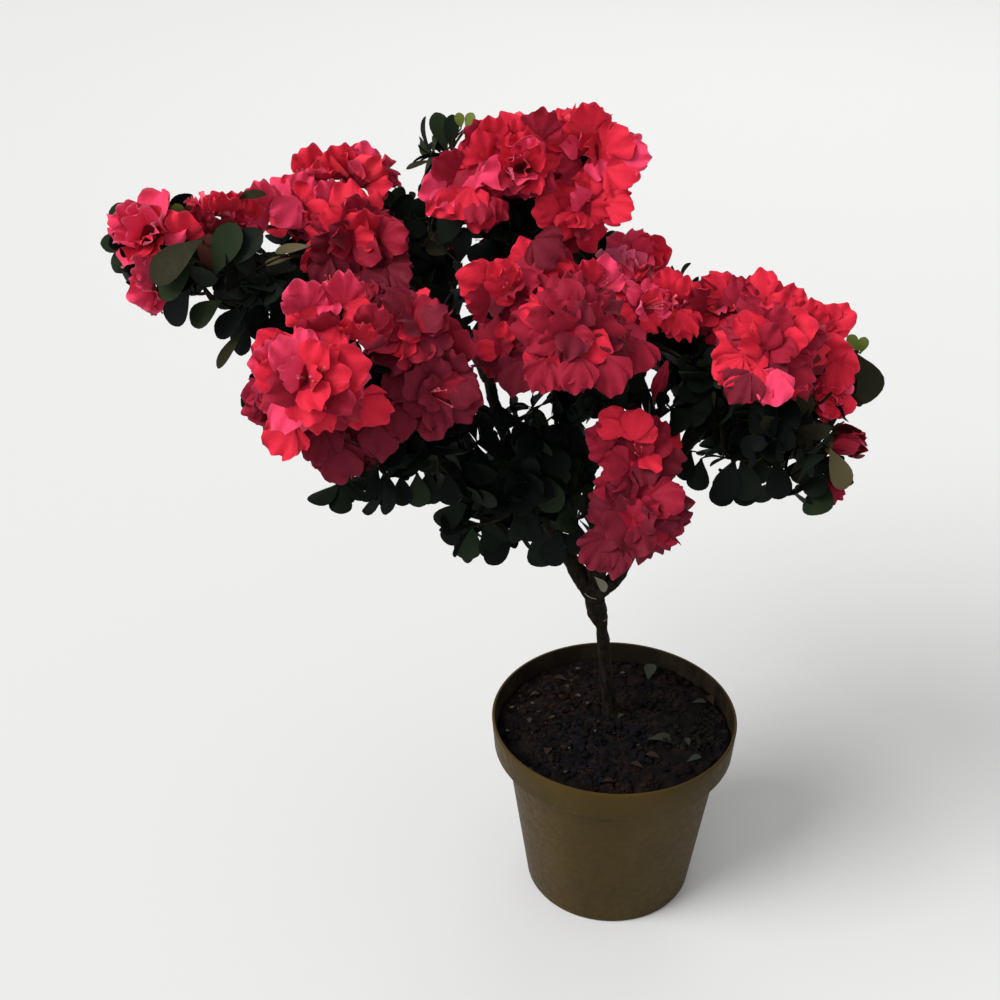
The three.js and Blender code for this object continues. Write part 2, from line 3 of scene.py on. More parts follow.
import bpy
import numpy as np
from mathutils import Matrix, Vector


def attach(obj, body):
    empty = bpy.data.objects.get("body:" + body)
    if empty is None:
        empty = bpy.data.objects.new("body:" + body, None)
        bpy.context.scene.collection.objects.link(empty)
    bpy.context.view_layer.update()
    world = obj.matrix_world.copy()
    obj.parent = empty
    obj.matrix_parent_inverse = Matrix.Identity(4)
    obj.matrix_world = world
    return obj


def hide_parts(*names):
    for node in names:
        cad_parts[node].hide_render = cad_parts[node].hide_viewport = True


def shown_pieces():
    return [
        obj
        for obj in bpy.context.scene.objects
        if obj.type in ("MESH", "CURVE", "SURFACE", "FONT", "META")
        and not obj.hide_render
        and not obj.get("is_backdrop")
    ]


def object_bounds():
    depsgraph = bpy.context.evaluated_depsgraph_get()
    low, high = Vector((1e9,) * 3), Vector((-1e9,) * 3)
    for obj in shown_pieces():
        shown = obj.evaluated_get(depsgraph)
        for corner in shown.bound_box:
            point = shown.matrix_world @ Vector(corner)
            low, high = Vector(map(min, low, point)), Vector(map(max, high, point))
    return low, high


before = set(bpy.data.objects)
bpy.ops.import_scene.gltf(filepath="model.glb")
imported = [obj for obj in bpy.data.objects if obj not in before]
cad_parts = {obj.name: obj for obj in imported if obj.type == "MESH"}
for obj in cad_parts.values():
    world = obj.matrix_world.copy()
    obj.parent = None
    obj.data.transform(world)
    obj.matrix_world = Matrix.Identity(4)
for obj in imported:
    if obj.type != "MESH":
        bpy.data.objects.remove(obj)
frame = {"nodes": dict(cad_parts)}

# Potted azalea shrub in flower. Sizes are in millimetres up to the moment a mesh is made,
# +Z is up and the front looks towards -Y, as in the frame.
cadLow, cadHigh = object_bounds()
metre = 0.001
fullTurn = 2 * math.pi
goldenAngle = math.pi * (3 - math.sqrt(5))
print("frame loaded:", len(frame["nodes"]), "nodes")


# Small helpers
def unit(v):
    v = np.asarray(v, float)
    return v / np.linalg.norm(v)


def clearSelection():
    if bpy.context.mode != "OBJECT":
        bpy.ops.object.mode_set(mode="OBJECT")
    bpy.ops.object.select_all(action="DESELECT")


def onScreen(red, green, blue):
    # a colour given as it looks on a screen, 0 to 255
    def linear(value):
        value = value / 255
        return value / 12.92 if value < 0.04045 else ((value + 0.055) / 1.055) ** 2.4

    return (linear(red), linear(green), linear(blue), 1)


def addModifier(piece, kind, **settings):
    bpy.ops.object.modifier_add(type=kind)
    for key, value in settings.items():
        setattr(piece.modifiers[-1], key, value)


def applyModifiers(piece):
    for modifier in list(piece.modifiers):
        bpy.ops.object.modifier_apply(modifier=modifier.name)


def finishPiece(piece, name, materials, nodes=()):
    # name, finish, the body it rides on and the nodes that it stands for
    piece.name = piece.data.name = name
    for material in materials:
        piece.data.materials.append(material)
    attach(piece, "root")
    if nodes:
        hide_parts(*nodes)


def selectWhere(piece, test):
    # in edit mode: only the vertices that pass the test are selected
    bpy.ops.mesh.select_mode(type="VERT")
    bpy.ops.mesh.select_all(action="DESELECT")
    bpy.ops.object.mode_set(mode="OBJECT")
    for vertex in piece.data.vertices:
        vertex.select = test(vertex.co)
    bpy.ops.object.mode_set(mode="EDIT")


def closeShell(mergeWithin=0):
    # merges what meets and turns every face outward
    bpy.ops.object.mode_set(mode="EDIT")
    bpy.ops.mesh.select_all(action="SELECT")
    if mergeWithin:
        bpy.ops.mesh.remove_doubles(threshold=mergeWithin)
    bpy.ops.mesh.normals_make_consistent(inside=False)
    bpy.ops.object.mode_set(mode="OBJECT")


# Seeded draws, as in the part's source: the same seed always gives the same plant
seedState, seedFactor, seedSpan = 1, 48271, 2147483647


def draw(low, high):
    global seedState
    seedState = seedState * seedFactor % seedSpan
    return low + (high - low) * seedState / seedSpan


def sow(seed):
    global seedState
    seedState = int(seed)
    for _ in range(4):  # the first draws follow the seed closely and are passed over
        draw(0, 1)


def between(ends, share):
    return ends[0] + (ends[1] - ends[0]) * share


# Curves in millimetres, each a function of a share from 0 to 1
def smoothCurve(points):
    points = np.array(points, float)
    last = len(points) - 1

    def at(share):
        place = min(max(share, 0), 1) * last
        i = min(int(place), last - 1)
        t = place - i
        a, b = points[i], points[i + 1]
        before = points[i - 1] if i > 0 else 2 * a - b
        after = points[i + 2] if i + 2 <= last else 2 * b - a
        u, v = 0.5 * (b - before), 0.5 * (after - a)
        return a + u * t + (3 * b - 3 * a - 2 * u - v) * t**2 + (2 * a - 2 * b + u + v) * t**3

    return at


def tangentOf(curve, share, step=1e-4):
    return unit(curve(min(1, share + step)) - curve(max(0, share - step)))


def twigCurve(start, heading, end, elbowAt=0.4):
    # leaves its start along the heading and bends to its end
    start, end = np.asarray(start, float), np.asarray(end, float)
    elbow = start + heading * elbowAt * np.linalg.norm(end - start)
    return lambda t: (1 - t) ** 2 * start + 2 * t * (1 - t) * elbow + t * t * end


def frameOn(curve, shares=(0, 0.5, 1)):
    # the frame at the last of the shares, carried there from the first without a twist
    side = None
    for share in shares:
        axis = tangentOf(curve, share)
        if side is None:
            side = np.array((0, 0, 1.0) if abs(axis[2]) < 0.9 else (0, 1.0, 0))
        side = unit(side - axis * side.dot(axis))
    return {"spot": curve(share), "axis": axis, "side": side, "other": np.cross(axis, side)}


def aside(frame, angle):
    return frame["side"] * math.cos(angle) + frame["other"] * math.sin(angle)


def leaning(frame, angle, lean):
    # the way that leans from the frame's axis, and the way up from it
    radial = aside(frame, angle)
    along = frame["axis"] * math.cos(lean) + radial * math.sin(lean)
    return along, frame["axis"] * math.sin(lean) - radial * math.cos(lean)


# Node groups that several materials share
def setInputs(node, values):
    for name, value in values.items():
        node.inputs[name].default_value = value
    return node


def join(source, output, target, entry):
    source.id_data.links.new(source.outputs[output], target.inputs[entry])


def nodeGroup(name, inputs, outputs):
    group = bpy.data.node_groups.new(name, "ShaderNodeTree")
    for socket, (kind, value) in inputs.items():
        made = group.interface.new_socket(name=socket, in_out="INPUT", socket_type="NodeSocket" + kind)
        made.default_value = value
    for socket, kind in outputs.items():
        group.interface.new_socket(name=socket, in_out="OUTPUT", socket_type="NodeSocket" + kind)
    return group, group.nodes.new("NodeGroupInput"), group.nodes.new("NodeGroupOutput")


def makeGrainGroup():
    # fine grain: a value for roughness and a height for bump, from noise at one scale
    group, given, made = nodeGroup(
        "fineGrain",
        {"Scale": ("Float", 400), "Low": ("Float", 0.4), "High": ("Float", 0.6)},
        {"Rough": "Float", "Height": "Float"},
    )
    coordinates = group.nodes.new("ShaderNodeTexCoord")
    noise = setInputs(group.nodes.new("ShaderNodeTexNoise"), {"Detail": 4})
    spread = setInputs(group.nodes.new("ShaderNodeMapRange"), {"From Min": 0.3, "From Max": 0.7})
    join(coordinates, "Object", noise, "Vector")
    join(given, "Scale", noise, "Scale")
    join(noise, "Fac", spread, "Value")
    join(given, "Low", spread, "To Min")
    join(given, "High", spread, "To Max")
    join(spread, "Result", made, "Rough")
    join(noise, "Fac", made, "Height")
    return group


def makeMottleGroup():
    # two colours dealt by soft noise, stretched along one axis if asked
    group, given, made = nodeGroup(
        "mottle",
        {
            "Scale": ("Float", 60), "Stretch": ("Vector", (1, 1, 1)),
            "Edge Low": ("Float", 0.4), "Edge High": ("Float", 0.6),
            "First": ("Color", (0.1, 0.1, 0.1, 1)), "Second": ("Color", (0.2, 0.2, 0.2, 1)),
        },
        {"Colour": "Color"},
    )
    coordinates = group.nodes.new("ShaderNodeTexCoord")
    stretch = group.nodes.new("ShaderNodeVectorMath")
    stretch.operation = "MULTIPLY"
    noise = setInputs(group.nodes.new("ShaderNodeTexNoise"), {"Detail": 6, "Roughness": 0.6})
    spread = group.nodes.new("ShaderNodeMapRange")
    mix = group.nodes.new("ShaderNodeMix")
    mix.data_type = "RGBA"
    join(coordinates, "Object", stretch, 0)
    join(given, "Stretch", stretch, 1)
    join(stretch, "Vector", noise, "Vector")
    join(given, "Scale", noise, "Scale")
    join(noise, "Fac", spread, "Value")
    join(given, "Edge Low", spread, "From Min")
    join(given, "Edge High", spread, "From Max")
    join(spread, "Result", mix, "Factor")
    join(given, "First", mix, "A")
    join(given, "Second", mix, "B")
    join(mix, "Result", made, "Colour")
    return group


grainGroup, mottleGroup = makeGrainGroup(), makeMottleGroup()


def useGroup(tree, group, values):
    node = tree.nodes.new("ShaderNodeGroup")
    node.node_tree = group
    return setInputs(node, values)


def addGrain(principled, scale, low, high, bump, distance):
    grain = useGroup(principled.id_data, grainGroup, {"Scale": scale, "Low": low, "High": high})
    relief = principled.id_data.nodes.new("ShaderNodeBump")
    setInputs(relief, {"Strength": bump, "Distance": distance})
    join(grain, "Rough", principled, "Roughness")
    join(grain, "Height", relief, "Height")
    join(relief, "Normal", principled, "Normal")


# A finish has its specular level, its grain (scale, lowest and highest roughness, strength and distance of
# the bump), the mottle of its two colours and other values of the shader.
def plainMaterial(name, colour, finish):
    material = bpy.data.materials.new(name)
    material.use_nodes = True
    principled = material.node_tree.nodes["Principled BSDF"]
    setInputs(principled, {"Base Color": colour, "Specular IOR Level": finish["specular"]})
    setInputs(principled, finish.get("shader", {}))
    if "grain" in finish:
        addGrain(principled, *finish["grain"])
    return material


def mottledMaterial(name, first, second, finish):
    first, second = onScreen(*first), onScreen(*second)
    material = plainMaterial(name, first, finish)
    tree = material.node_tree
    colours = useGroup(tree, mottleGroup, {"First": first, "Second": second, **finish["mottle"]})
    join(colours, "Colour", tree.nodes["Principled BSDF"], "Base Color")
    return material


def plainMaterials(colours, finish):
    return [plainMaterial(name, onScreen(*colour), finish) for name, colour in colours.items()]


# Leaves and petals have plain base colours, as on a screen, dealt out by spray
leafColours = {
    "leafDark": (16, 22, 16), "leafDeep": (9, 13, 12), "leafMid": (28, 38, 22), "leafOlive": (35, 34, 20),
    "leafBronze": (66, 34, 26), "leafYoung": (92, 104, 46), "leafPale": (86, 78, 55),
    "leafGrey": (118, 114, 100),
}
leafFinish = {"specular": 0.05, "grain": (260, 0.5, 0.75, 0.25, 0.0006)}
# coral and pink are lighter copies of the petals' red as painted light; wine, dusk and mauve are darker
# copies of it as painted shade
petalColours = {
    "petalCrimson": (194, 34, 54), "petalScarlet": (216, 50, 66), "petalRose": (212, 56, 90),
    "petalCoral": (228, 88, 108), "petalPink": (222, 98, 132), "petalWine": (134, 24, 43),
    "petalDusk": (100, 22, 37), "petalMauve": (136, 50, 76), "petalThroat": (132, 18, 38),
    "sepal": (92, 74, 38), "stamen": (176, 74, 80),
}
petalFinish = {
    "specular": 0.06, "grain": (330, 0.5, 0.72, 0.5, 0.001),
    "shader": {
        "Sheen Weight": 0.04, "Sheen Tint": (1, 0.7, 0.75, 1),
        "Subsurface Weight": 0.12, "Subsurface Radius": (1, 0.3, 0.3), "Subsurface Scale": 0.002,
    },
}
leafMaterials = plainMaterials(leafColours, leafFinish)
petalMaterials = plainMaterials(petalColours, petalFinish)
# a tint is called after its material, without leaf or petal: dark, crimson
leafTint = {name.removeprefix("leaf").lower(): i for i, name in enumerate(leafColours)}
petalTint = {name.removeprefix("petal").lower(): i for i, name in enumerate(petalColours)}
barkFinish = {
    "specular": 0.06, "grain": (900, 0.7, 0.95, 0.6, 0.0008),
    "mottle": {"Scale": 420, "Stretch": (1, 1, 0.35), "Edge Low": 0.42, "Edge High": 0.68},
}
bark = mottledMaterial("shrubBark", (14, 12, 9), (36, 29, 20), barkFinish)
twigBark = mottledMaterial("twigBark", (22, 18, 12), (42, 33, 21), barkFinish)
print("materials ready for leaves, petals and bark")


# Limbs: places and radii, as in the part's source
fitGap = 0.3
limbPoints = {
    "trunk": [
        (-0.6, 12.4, 93.5, 8), (-1, 12, 98.5, 6), (-1.8, 11, 107, 4.3), (-5, 8, 132, 3.4),
        (-8, 4.5, 160, 3.2), (-11.4, 1.5, 174, 5.6), (-12.6, -1, 183, 5.8),
    ],
    "left": [
        (-12.6, -1, 183, 4.8), (-25.4, -5, 208, 4.3), (-44, -4, 244, 3.5), (-61, 0, 284, 2.9),
        (-70, 4, 318, 2.6), (-92, 14, 340, 2.4), (-116, 24, 356, 2.2),
    ],
    "right": [
        (-12.6, -1, 183, 4.2), (-1.2, -4, 200, 3.9), (12, -6, 234, 3.3), (22, -8, 264, 2.9),
        (38, -12, 290, 2.4),
    ],
}
limbCurves = {name: smoothCurve([p[:3] for p in points]) for name, points in limbPoints.items()}

# Masses, as in the part's source. The first four numbers of a bloom, its place and its width, are the
# source's. Its form, its tone, how far it turns to the front and, in three blooms, a seat of its own are for
# the looks. So are the small blooms, the leaves and the petals that the photograph shows one by one (foot,
# point, tint and, where given, breadth), the number of finer shoots, the leaf's length and how often a spray
# takes each tint of leaf. Dark tips stand in the photograph's dark gaps and keep their leaves there.
darkSprays = {"dark": 5, "deep": 6, "mid": 1}
mixedSprays = {"dark": 5, "deep": 4, "mid": 3, "olive": 1}
masses = {
    "upper_left": {
        "limb": "left", "share": 1, "centre": (-137, 26, 376), "reach": (44, 42, 34),
        "blooms": [
            (-145, 40, 393, 23, "cup", "rosy", 0), (-124, 42, 393, 34, "cup", "scarlet", 0.1),
            (-156, 18, 385, 40, "ruffled", "pink", 0.5), (-125, 0, 375, 50, "ruffled", "mixed", 0.5),
        ],
        "extraBlooms": [
            (-108, 0, 362, 24, "ruffled", "wine", 0.5), (-150, 58, 374, 32, "ruffled", "mixed", 0),
        ],
        "tips": [(-108, 38, 374), (-157, 2, 366)],
        "petals": [
            (-166, 6, 389, -167, 4, 402, "pink"), (-167, 4, 382, -176, 0, 387, "pink"),
            (-138, 20, 381, -140, 24, 396, "pink"), (-111, 2, 374, -101, 0, 378, "crimson"),
            (-112, -4, 363, -100, -8, 357, "wine"), (-109, -8, 354, -118, -14, 344, "wine"),
            (-133, 38, 384, -136, 40, 407, "rose"), (-118, 26, 391, -108, 24, 393, "rose"),
            (-149, 2, 393, -161, -6, 384, "pink"), (-139, -2, 368, -148, -2, 361, "rose"),
            (-147, 36, 397, -147, 36, 407, "rose"), (-124, 40, 396, -122, 40, 407, "coral"),
            (-120, -10, 362, -117, -12, 350, "wine"), (-123, -10, 359, -125, -14, 348, "crimson"),
            (-138, -4, 366, -142, -6, 355, "wine"), (-108, -6, 378, -99, -6, 379, "crimson"),
        ],
        "shoots": 4, "seed": 31, "fine": 60, "leaf": 18, "sprays": darkSprays,
    },
    "right": {
        "limb": "right", "share": 1, "centre": (68, -20, 312), "reach": (50, 44, 54),
        "blooms": [
            (36, -10, 349, 38, "open", "coral", 0.4), (54, -52, 348, 55, "ruffled", "mixed", 0.6),
            (81, -15, 340, 39, "open", "rosy", 0.35), (99, -25, 287, 21, "bud", "crimson", 0.6),
        ],
        "extraBlooms": [
            (90, -34, 316, 24, "ruffled", "rosy", 0.4), (90, -40, 272, 11, "bud", "wine", 0),
            (93, -38, 291, 13, "bud", "wine", 0.3), (86, 14, 312, 28, "ruffled", "rosy", 0),
        ],
        "tips": [
            (39, -36, 301), (48, -34, 275), (70, -34, 270), (86, -38, 276), (104, -12, 311), (98, 0, 324),
        ],
        "leaves": [
            (101, -8, 324, 113, -12, 298, "olive"), (98, -12, 311, 100, -18, 298, "mid"),
            (87, -44, 293, 96, -52, 276, "pale", 0.9), (89, -34, 276, 89, -40, 262, "mid"),
            (46, -38, 284, 40, -46, 267, "deep"), (49, -38, 284, 54, -46, 266, "dark"),
            (64, -40, 285, 67, -48, 268, "deep"), (76, -36, 285, 76, -42, 273, "olive"),
            (27, -30, 284, 23, -34, 270, "deep"), (32, -30, 280, 30, -34, 264, "dark"),
            (43, -32, 275, 41, -38, 258, "deep"), (52, -32, 275, 53, -38, 258, "deep"),
            (105, -2, 321, 100, -2, 329, "young"), (106, -2, 320, 107, -2, 328, "young"),
        ],
        "petals": [
            (54, -26, 360, 53, -20, 369, "rose"), (38, -16, 356, 29, -14, 364, "rose"),
            (66, -26, 355, 70, -22, 362, "rose"), (88, -20, 344, 95, -20, 351, "rose"),
            (88, -24, 333, 96, -26, 335, "rose"), (87, -32, 322, 96, -34, 318, "pink"),
            (41, -56, 346, 35, -60, 332, "rose"), (47, -70, 346, 46, -72, 330, "rose"),
            (54, -70, 345, 55, -72, 330, "coral"), (28, -18, 354, 20, -20, 359, "crimson"),
            (88, -40, 318, 82, -42, 308, "rose"), (45, -24, 356, 43, -20, 366, "crimson"),
            (62, -26, 352, 64, -24, 361, "rose"), (78, -22, 345, 77, -22, 355, "rose"),
            (87, -34, 326, 86, -36, 316, "rose"), (90, -30, 328, 97, -32, 324, "rose"),
            (30, -14, 353, 27, -14, 362, "crimson"), (40, -68, 349, 32, -68, 337, "rose", 0.85),
            (19, -30, 349, 22, -30, 340, "rose"), (42, -70, 340, 37, -70, 330, "wine"),
        ],
        "shoots": 4, "seed": 12, "fine": 90, "leaf": 20, "sprays": mixedSprays,
    },
    "far_left": {
        "limb": "left", "share": 0.72, "centre": (-192, -14, 368), "reach": (44, 40, 42),
        "blooms": [
            (-214, -25, 389, 31, "cup", "fair", 0.5), (-215, -25, 358, 18, "cup", "coral", 0.3),
            (-187, -8, 394, 18, "cup", "coral", 0),
        ],
        "extraBlooms": [(-173, 0, 387, 20, "ruffled", "fair", 0.4)],
        "tips": [(-196, -38, 378), (-174, -36, 385), (-197, -18, 357), (-178, -12, 346), (-176, 5, 386)],
        "leaves": [
            (-186, -38, 390, -209, -47, 376, "olive", 0.9), (-190, -36, 380, -206, -44, 366, "mid", 0.85),
            (-182, -38, 374, -173, -35, 396, "mid", 0.95), (-177, -36, 376, -163, -33, 393, "dark", 0.95),
            (-178, -12, 398, -162, -12, 402, "olive", 0.5), (-185, -34, 371, -184, -34, 390, "bronze", 0.9),
            (-195, -30, 364, -206, -34, 349, "deep"), (-182, -28, 358, -197, -32, 349, "mid"),
            (-171, -24, 354, -187, -30, 342, "deep", 0.9), (-173, -26, 344, -188, -32, 327, "olive", 0.4),
            # the two pale leaves here are lighter as a painted highlight
            (-142, -20, 380, -158, -24, 380, "pale", 0.5), (-150, -20, 375, -163, -24, 374, "pale", 0.45),
            (-199, -12, 387, -201, -12, 396, "young"), (-198, -10, 386, -194, -10, 395, "bronze"),
        ],
        "darkTips": [
            (-158, -18, 358), (-163, -20, 366), (-170, -22, 356), (-161, -32, 353), (-149, -30, 362),
        ],
        "petals": [
            (-179, -14, 392, -180, -18, 408, "scarlet"), (-173, -6, 387, -174, -8, 399, "rose"),
            (-180, -24, 385, -182, -28, 397, "wine"), (-215, -30, 374, -220, -34, 378, "coral"),
            (-216, -28, 362, -222, -34, 361, "coral"), (-197, -22, 387, -195, -22, 398, "scarlet"),
            (-190, -18, 388, -187, -18, 399, "crimson"),
        ],
        "shoots": 3, "seed": 13, "fine": 26, "leaf": 19, "sprays": darkSprays,
    },
    "front_left": {
        "limb": "left", "share": 0.5, "centre": (-112, -74, 334), "reach": (50, 42, 52),
        "blooms": [
            (-136, -105, 358, 56, "open", "rosy", 0.8, 0.08), (-128, -88, 318, 41, "open", "wine", 0.5),
            (-131, -55, 376, 32, "open", "rosy", 0.35), (-93, -72, 368, 46, "ruffled", "crimson", 0.4),
            (-87, -85, 342, 42, "open", "wine", 0.6),
        ],
        "extraBlooms": [
            (-151, -98, 340, 28, "cup", "crimson", 0.6), (-106, -84, 329, 26, "ruffled", "wine", 0.6),
        ],
        "tips": [(-130, -72, 291), (-109, -70, 292), (-88, -66, 290)],
        "darkTips": [(-148, -46, 354)],
        "leaves": [
            (-128, -70, 297, -128, -78, 283, "deep"), (-111, -66, 294, -110, -74, 280, "dark"),
            (-92, -60, 291, -93, -66, 276, "dark"), (-104, -66, 292, -103, -72, 279, "deep"),
            (-97, -64, 292, -96, -70, 277, "mid"), (-84, -62, 291, -82, -68, 277, "deep"),
        ],
        "petals": [
            (-141, -62, 368, -143, -62, 384, "pink"), (-125, -60, 369, -125, -58, 387, "coral"),
            (-122, -66, 367, -113, -70, 363, "scarlet"), (-144, -106, 338, -152, -108, 326, "rose"),
            (-128, -98, 327, -125, -100, 308, "wine"), (-134, -100, 329, -137, -102, 319, "wine"),
            (-81, -78, 342, -70, -80, 336, "wine"), (-90, -84, 332, -87, -88, 321, "wine"),
            (-82, -66, 349, -72, -64, 358, "crimson"), (-102, -86, 335, -101, -90, 323, "wine"),
            (-119, -101, 347, -107, -97, 337, "rose"), (-130, -92, 370, -133, -94, 384, "crimson"),
            (-120, -88, 368, -118, -90, 381, "scarlet"), (-113, -84, 368, -111, -84, 382, "crimson"),
            (-147, -100, 364, -155, -100, 371, "pink"), (-77, -80, 334, -74, -82, 326, "wine"),
            (-111, -92, 326, -110, -94, 316, "wine"), (-152, -98, 361, -161, -98, 362, "pink"),
            (-151, -96, 367, -157, -94, 372, "rose"), (-140, -62, 367, -148, -61, 361, "rose"),
            (-102, -80, 343, -106, -82, 337, "wine"), (-88, -76, 349, -86, -74, 356, "wine"),
            (-80, -74, 349, -76, -74, 356, "wine"),
        ],
        "shoots": 4, "seed": 14, "fine": 80, "leaf": 19, "sprays": darkSprays,
    },
    "lower_centre": {
        "limb": "left", "share": 0.3, "centre": (-56, -32, 268), "reach": (40, 32, 44),
        "blooms": [],
        "tips": [(-77, -45, 252), (-55, -40, 246), (-32, -30, 240), (-41, -42, 298), (-74, -35, 288)],
        "leaves": [
            (-75, -44, 255, -76, -50, 236, "mid"), (-70, -44, 259, -58, -50, 242, "dark"),
            (-78, -44, 263, -88, -50, 257, "dark"), (-33, -44, 250, -38, -50, 233, "deep"),
            (-26, -42, 254, -24, -48, 238, "deep"), (-66, -46, 258, -62, -49, 236, "dark"),
            (-42, -44, 252, -40, -47, 229, "dark"), (-80, -44, 257, -86, -47, 243, "deep"),
            (-47, -46, 263, -48, -48, 244, "deep"),
        ],
        "darkTips": [
            (-29, -36, 301), (-31, -38, 283), (-38, -36, 259), (-22, -44, 257), (-70, -38, 294),
            (-81, -44, 284), (-52, -34, 270), (-47, -40, 312), (-36, -42, 309), (-54, -40, 304),
        ],
        "shoots": 8, "seed": 15, "fine": 34, "leaf": 20, "sprays": darkSprays,
    },
    "top": {
        "limb": "right", "share": 0.5, "bend": (2, 12, 12), "centre": (-50, 28, 394), "reach": (54, 42, 36),
        "blooms": [
            (-20, 15, 409, 55, "ruffled", "scarlet", 0.6), (-72, 15, 403, 47, "ruffled", "scarlet", 0.5),
            (-21, 0, 388, 41, "ruffled", "scarlet", 0.5), (-51, -4, 409, 26, "cup", "rosy", 0.5),
        ],
        "extraBlooms": [(-44, 54, 398, 36, "ruffled", "mixed", 0), (-70, 48, 384, 28, "ruffled", "rosy", 0)],
        "tips": [(-85, 42, 402), (-92, 30, 374), (-55, 18, 385)],
        "leaves": [
            (-85, 26, 407, -89, 28, 424, "mid", 0.9), (-91, 28, 402, -104, 28, 399, "olive", 0.4),
            (-83, 26, 408, -82, 28, 423, "dark", 0.8), (-78, 24, 418, -79, 24, 425, "young"),
            (-76, 24, 418, -73, 24, 425, "young"), (-88, 8, 369, -81, 4, 387, "dark"),
            (-79, 4, 362, -77, 2, 379, "deep", 0.9), (-86, 10, 378, -74, 8, 383, "deep", 0.8),
        ],
        "darkTips": [(-90, 36, 378), (-94, 32, 364)],
        "petals": [
            (-82, 2, 399, -96, -4, 397, "pink"), (-77, 0, 395, -89, -6, 390, "rose"),
            (-71, 0, 394, -70, -8, 384, "mauve"), (-82, 6, 405, -92, 4, 411, "crimson"),
            (-68, 10, 415, -70, 12, 423, "rose"), (-55, 12, 418, -61, 14, 427, "scarlet"),
            (-49, 8, 413, -50, 8, 424, "scarlet"), (-43, 10, 419, -40, 12, 432, "crimson"),
            (-22, 4, 426, -23, 6, 437, "rose"), (-8, 4, 412, 6, 2, 413, "coral"),
            (-10, 6, 416, -1, 6, 420, "scarlet"), (-11, 2, 390, -1, 0, 387, "scarlet"),
            (-34, 0, 387, -46, -4, 392, "rose"), (-48, 4, 401, -52, -4, 396, "pink"),
            (-70, 2, 388, -70, 0, 379, "rose"), (-86, 4, 393, -92, 2, 385, "rose"),
            (-8, 4, 404, 0, 4, 401, "scarlet"), (-75, 0, 394, -77, -3, 385, "rose"),
            (-66, 2, 392, -68, -1, 380, "mauve"), (-72, 14, 420, -76, 14, 425, "crimson"),
            (-64, 14, 422, -64, 16, 428, "scarlet"),
        ],
        "shoots": 4, "seed": 16, "fine": 70, "leaf": 17, "sprays": mixedSprays,
    },
    "centre": {
        "limb": "right", "share": 0.62, "centre": (-30, -26, 344), "reach": (54, 42, 42),
        "blooms": [
            (-56, -32, 367, 42, "open", "mixed", 0.5), (-31, -62, 357, 59, "ruffled", "dusky", 0.6),
            (5, -28, 356, 37, "open", "pink", 0.5), (-15, -20, 363, 35, "open", "fair", 0.4),
            (0, 22, 350, 29, "cup", "pink", 0.2),
        ],
        "extraBlooms": [
            (-6, -50, 349, 22, "ruffled", "dusky", 0.5), (4, 16, 360, 26, "cup", "fair", 0.5),
            (-61, -46, 343, 34, "ruffled", "crimson", 0.6), (16, -18, 352, 28, "ruffled", "fair", 0.5),
            (21, -18, 345, 24, "ruffled", "coral", 0.5),
        ],
        "tips": [(-84, -5, 352), (-16, -38, 315), (24, -30, 329)],
        "darkTips": [(-17, -44, 317), (9, -30, 314), (17, -30, 305), (-21, -38, 312)],
        "petals": [
            (-66, -36, 369, -79, -38, 375, "scarlet"), (-68, -38, 362, -77, -42, 366, "crimson"),
            (-48, -18, 370, -51, -12, 380, "scarlet"), (-38, -18, 370, -34, -12, 377, "crimson"),
            (-41, -70, 349, -45, -72, 335, "mauve"), (-28, -74, 352, -30, -78, 338, "mauve"),
            (-17, -68, 350, -13, -70, 334, "mauve"), (-1, -48, 346, -3, -52, 334, "mauve"),
            (13, -38, 335, 8, -40, 317, "mauve", 0.5), (6, 20, 358, 18, 22, 364, "scarlet"),
            (-52, -56, 341, -56, -58, 328, "wine"), (-59, -34, 370, -63, -34, 379, "scarlet"),
            (22, -14, 354, 22, -14, 365, "rose"), (-34, -20, 366, -35, -18, 376, "rose"),
            (-22, -20, 366, -22, -18, 375, "rose"), (-15, -20, 367, -13, -18, 375, "pink"),
            (15, -14, 356, 13, -14, 368, "rose"), (-45, -20, 382, -35, -22, 373, "wine"),
        ],
        "shoots": 3, "seed": 17, "fine": 60, "leaf": 17, "sprays": darkSprays,
    },
    "low_front": {
        "limb": "right", "share": 0.22, "centre": (2, -58, 276), "reach": (30, 30, 44),
        "blooms": [(0, -60, 302, 43, "open", "crimson", 0.55), (-3, -74, 275, 52, "ruffled", "wine", 0.6)],
        "tips": [(-18, -50, 244)],
        "leaves": [(-14, -13, 203.5, -7, -14, 195.5, "grey", 0.8)],
        "petals": [
            (-9, -60, 310, -16, -58, 320, "scarlet"), (-15, -60, 306, -23, -60, 312, "crimson"),
            (-2, -60, 311, 0, -56, 320, "scarlet"), (-15, -74, 263, -22, -76, 251, "wine"),
            (-9, -76, 262, -13, -78, 248, "wine"), (10, -72, 284, 20, -72, 283, "crimson"),
            (-10, -64, 294, -19, -64, 294, "crimson"), (-11, -66, 286, -20, -66, 284, "crimson"),
        ],
        "shoots": 4, "seed": 18, "fine": 20, "leaf": 17, "sprays": darkSprays,
    },
    "back_left": {
        "limb": "left", "share": 0.6, "centre": (-112, 88, 326), "reach": (42, 38, 32),
        "blooms": [
            (-116, 116, 338, 42, "open", "mixed", 0, 0.12), (-144, 84, 336, 36, "open", "crimson", 0),
            (-84, 98, 334, 36, "open", "rosy", 0),
        ],
        "extraBlooms": [
            (-130, 108, 320, 34, "ruffled", "mixed", 0), (-98, 116, 318, 30, "ruffled", "rosy", 0),
        ],
        "tips": [],
        "shoots": 6, "seed": 19, "fine": 80, "leaf": 18, "sprays": mixedSprays,
    },
    "back_right": {
        "limb": "right", "share": 0.7, "centre": (-34, 88, 332), "reach": (44, 38, 34),
        "blooms": [
            (-36, 118, 346, 46, "open", "rosy", 0, 0.1), (-4, 98, 334, 34, "open", "crimson", 0),
            (-68, 98, 336, 34, "open", "mixed", 0),
        ],
        "extraBlooms": [
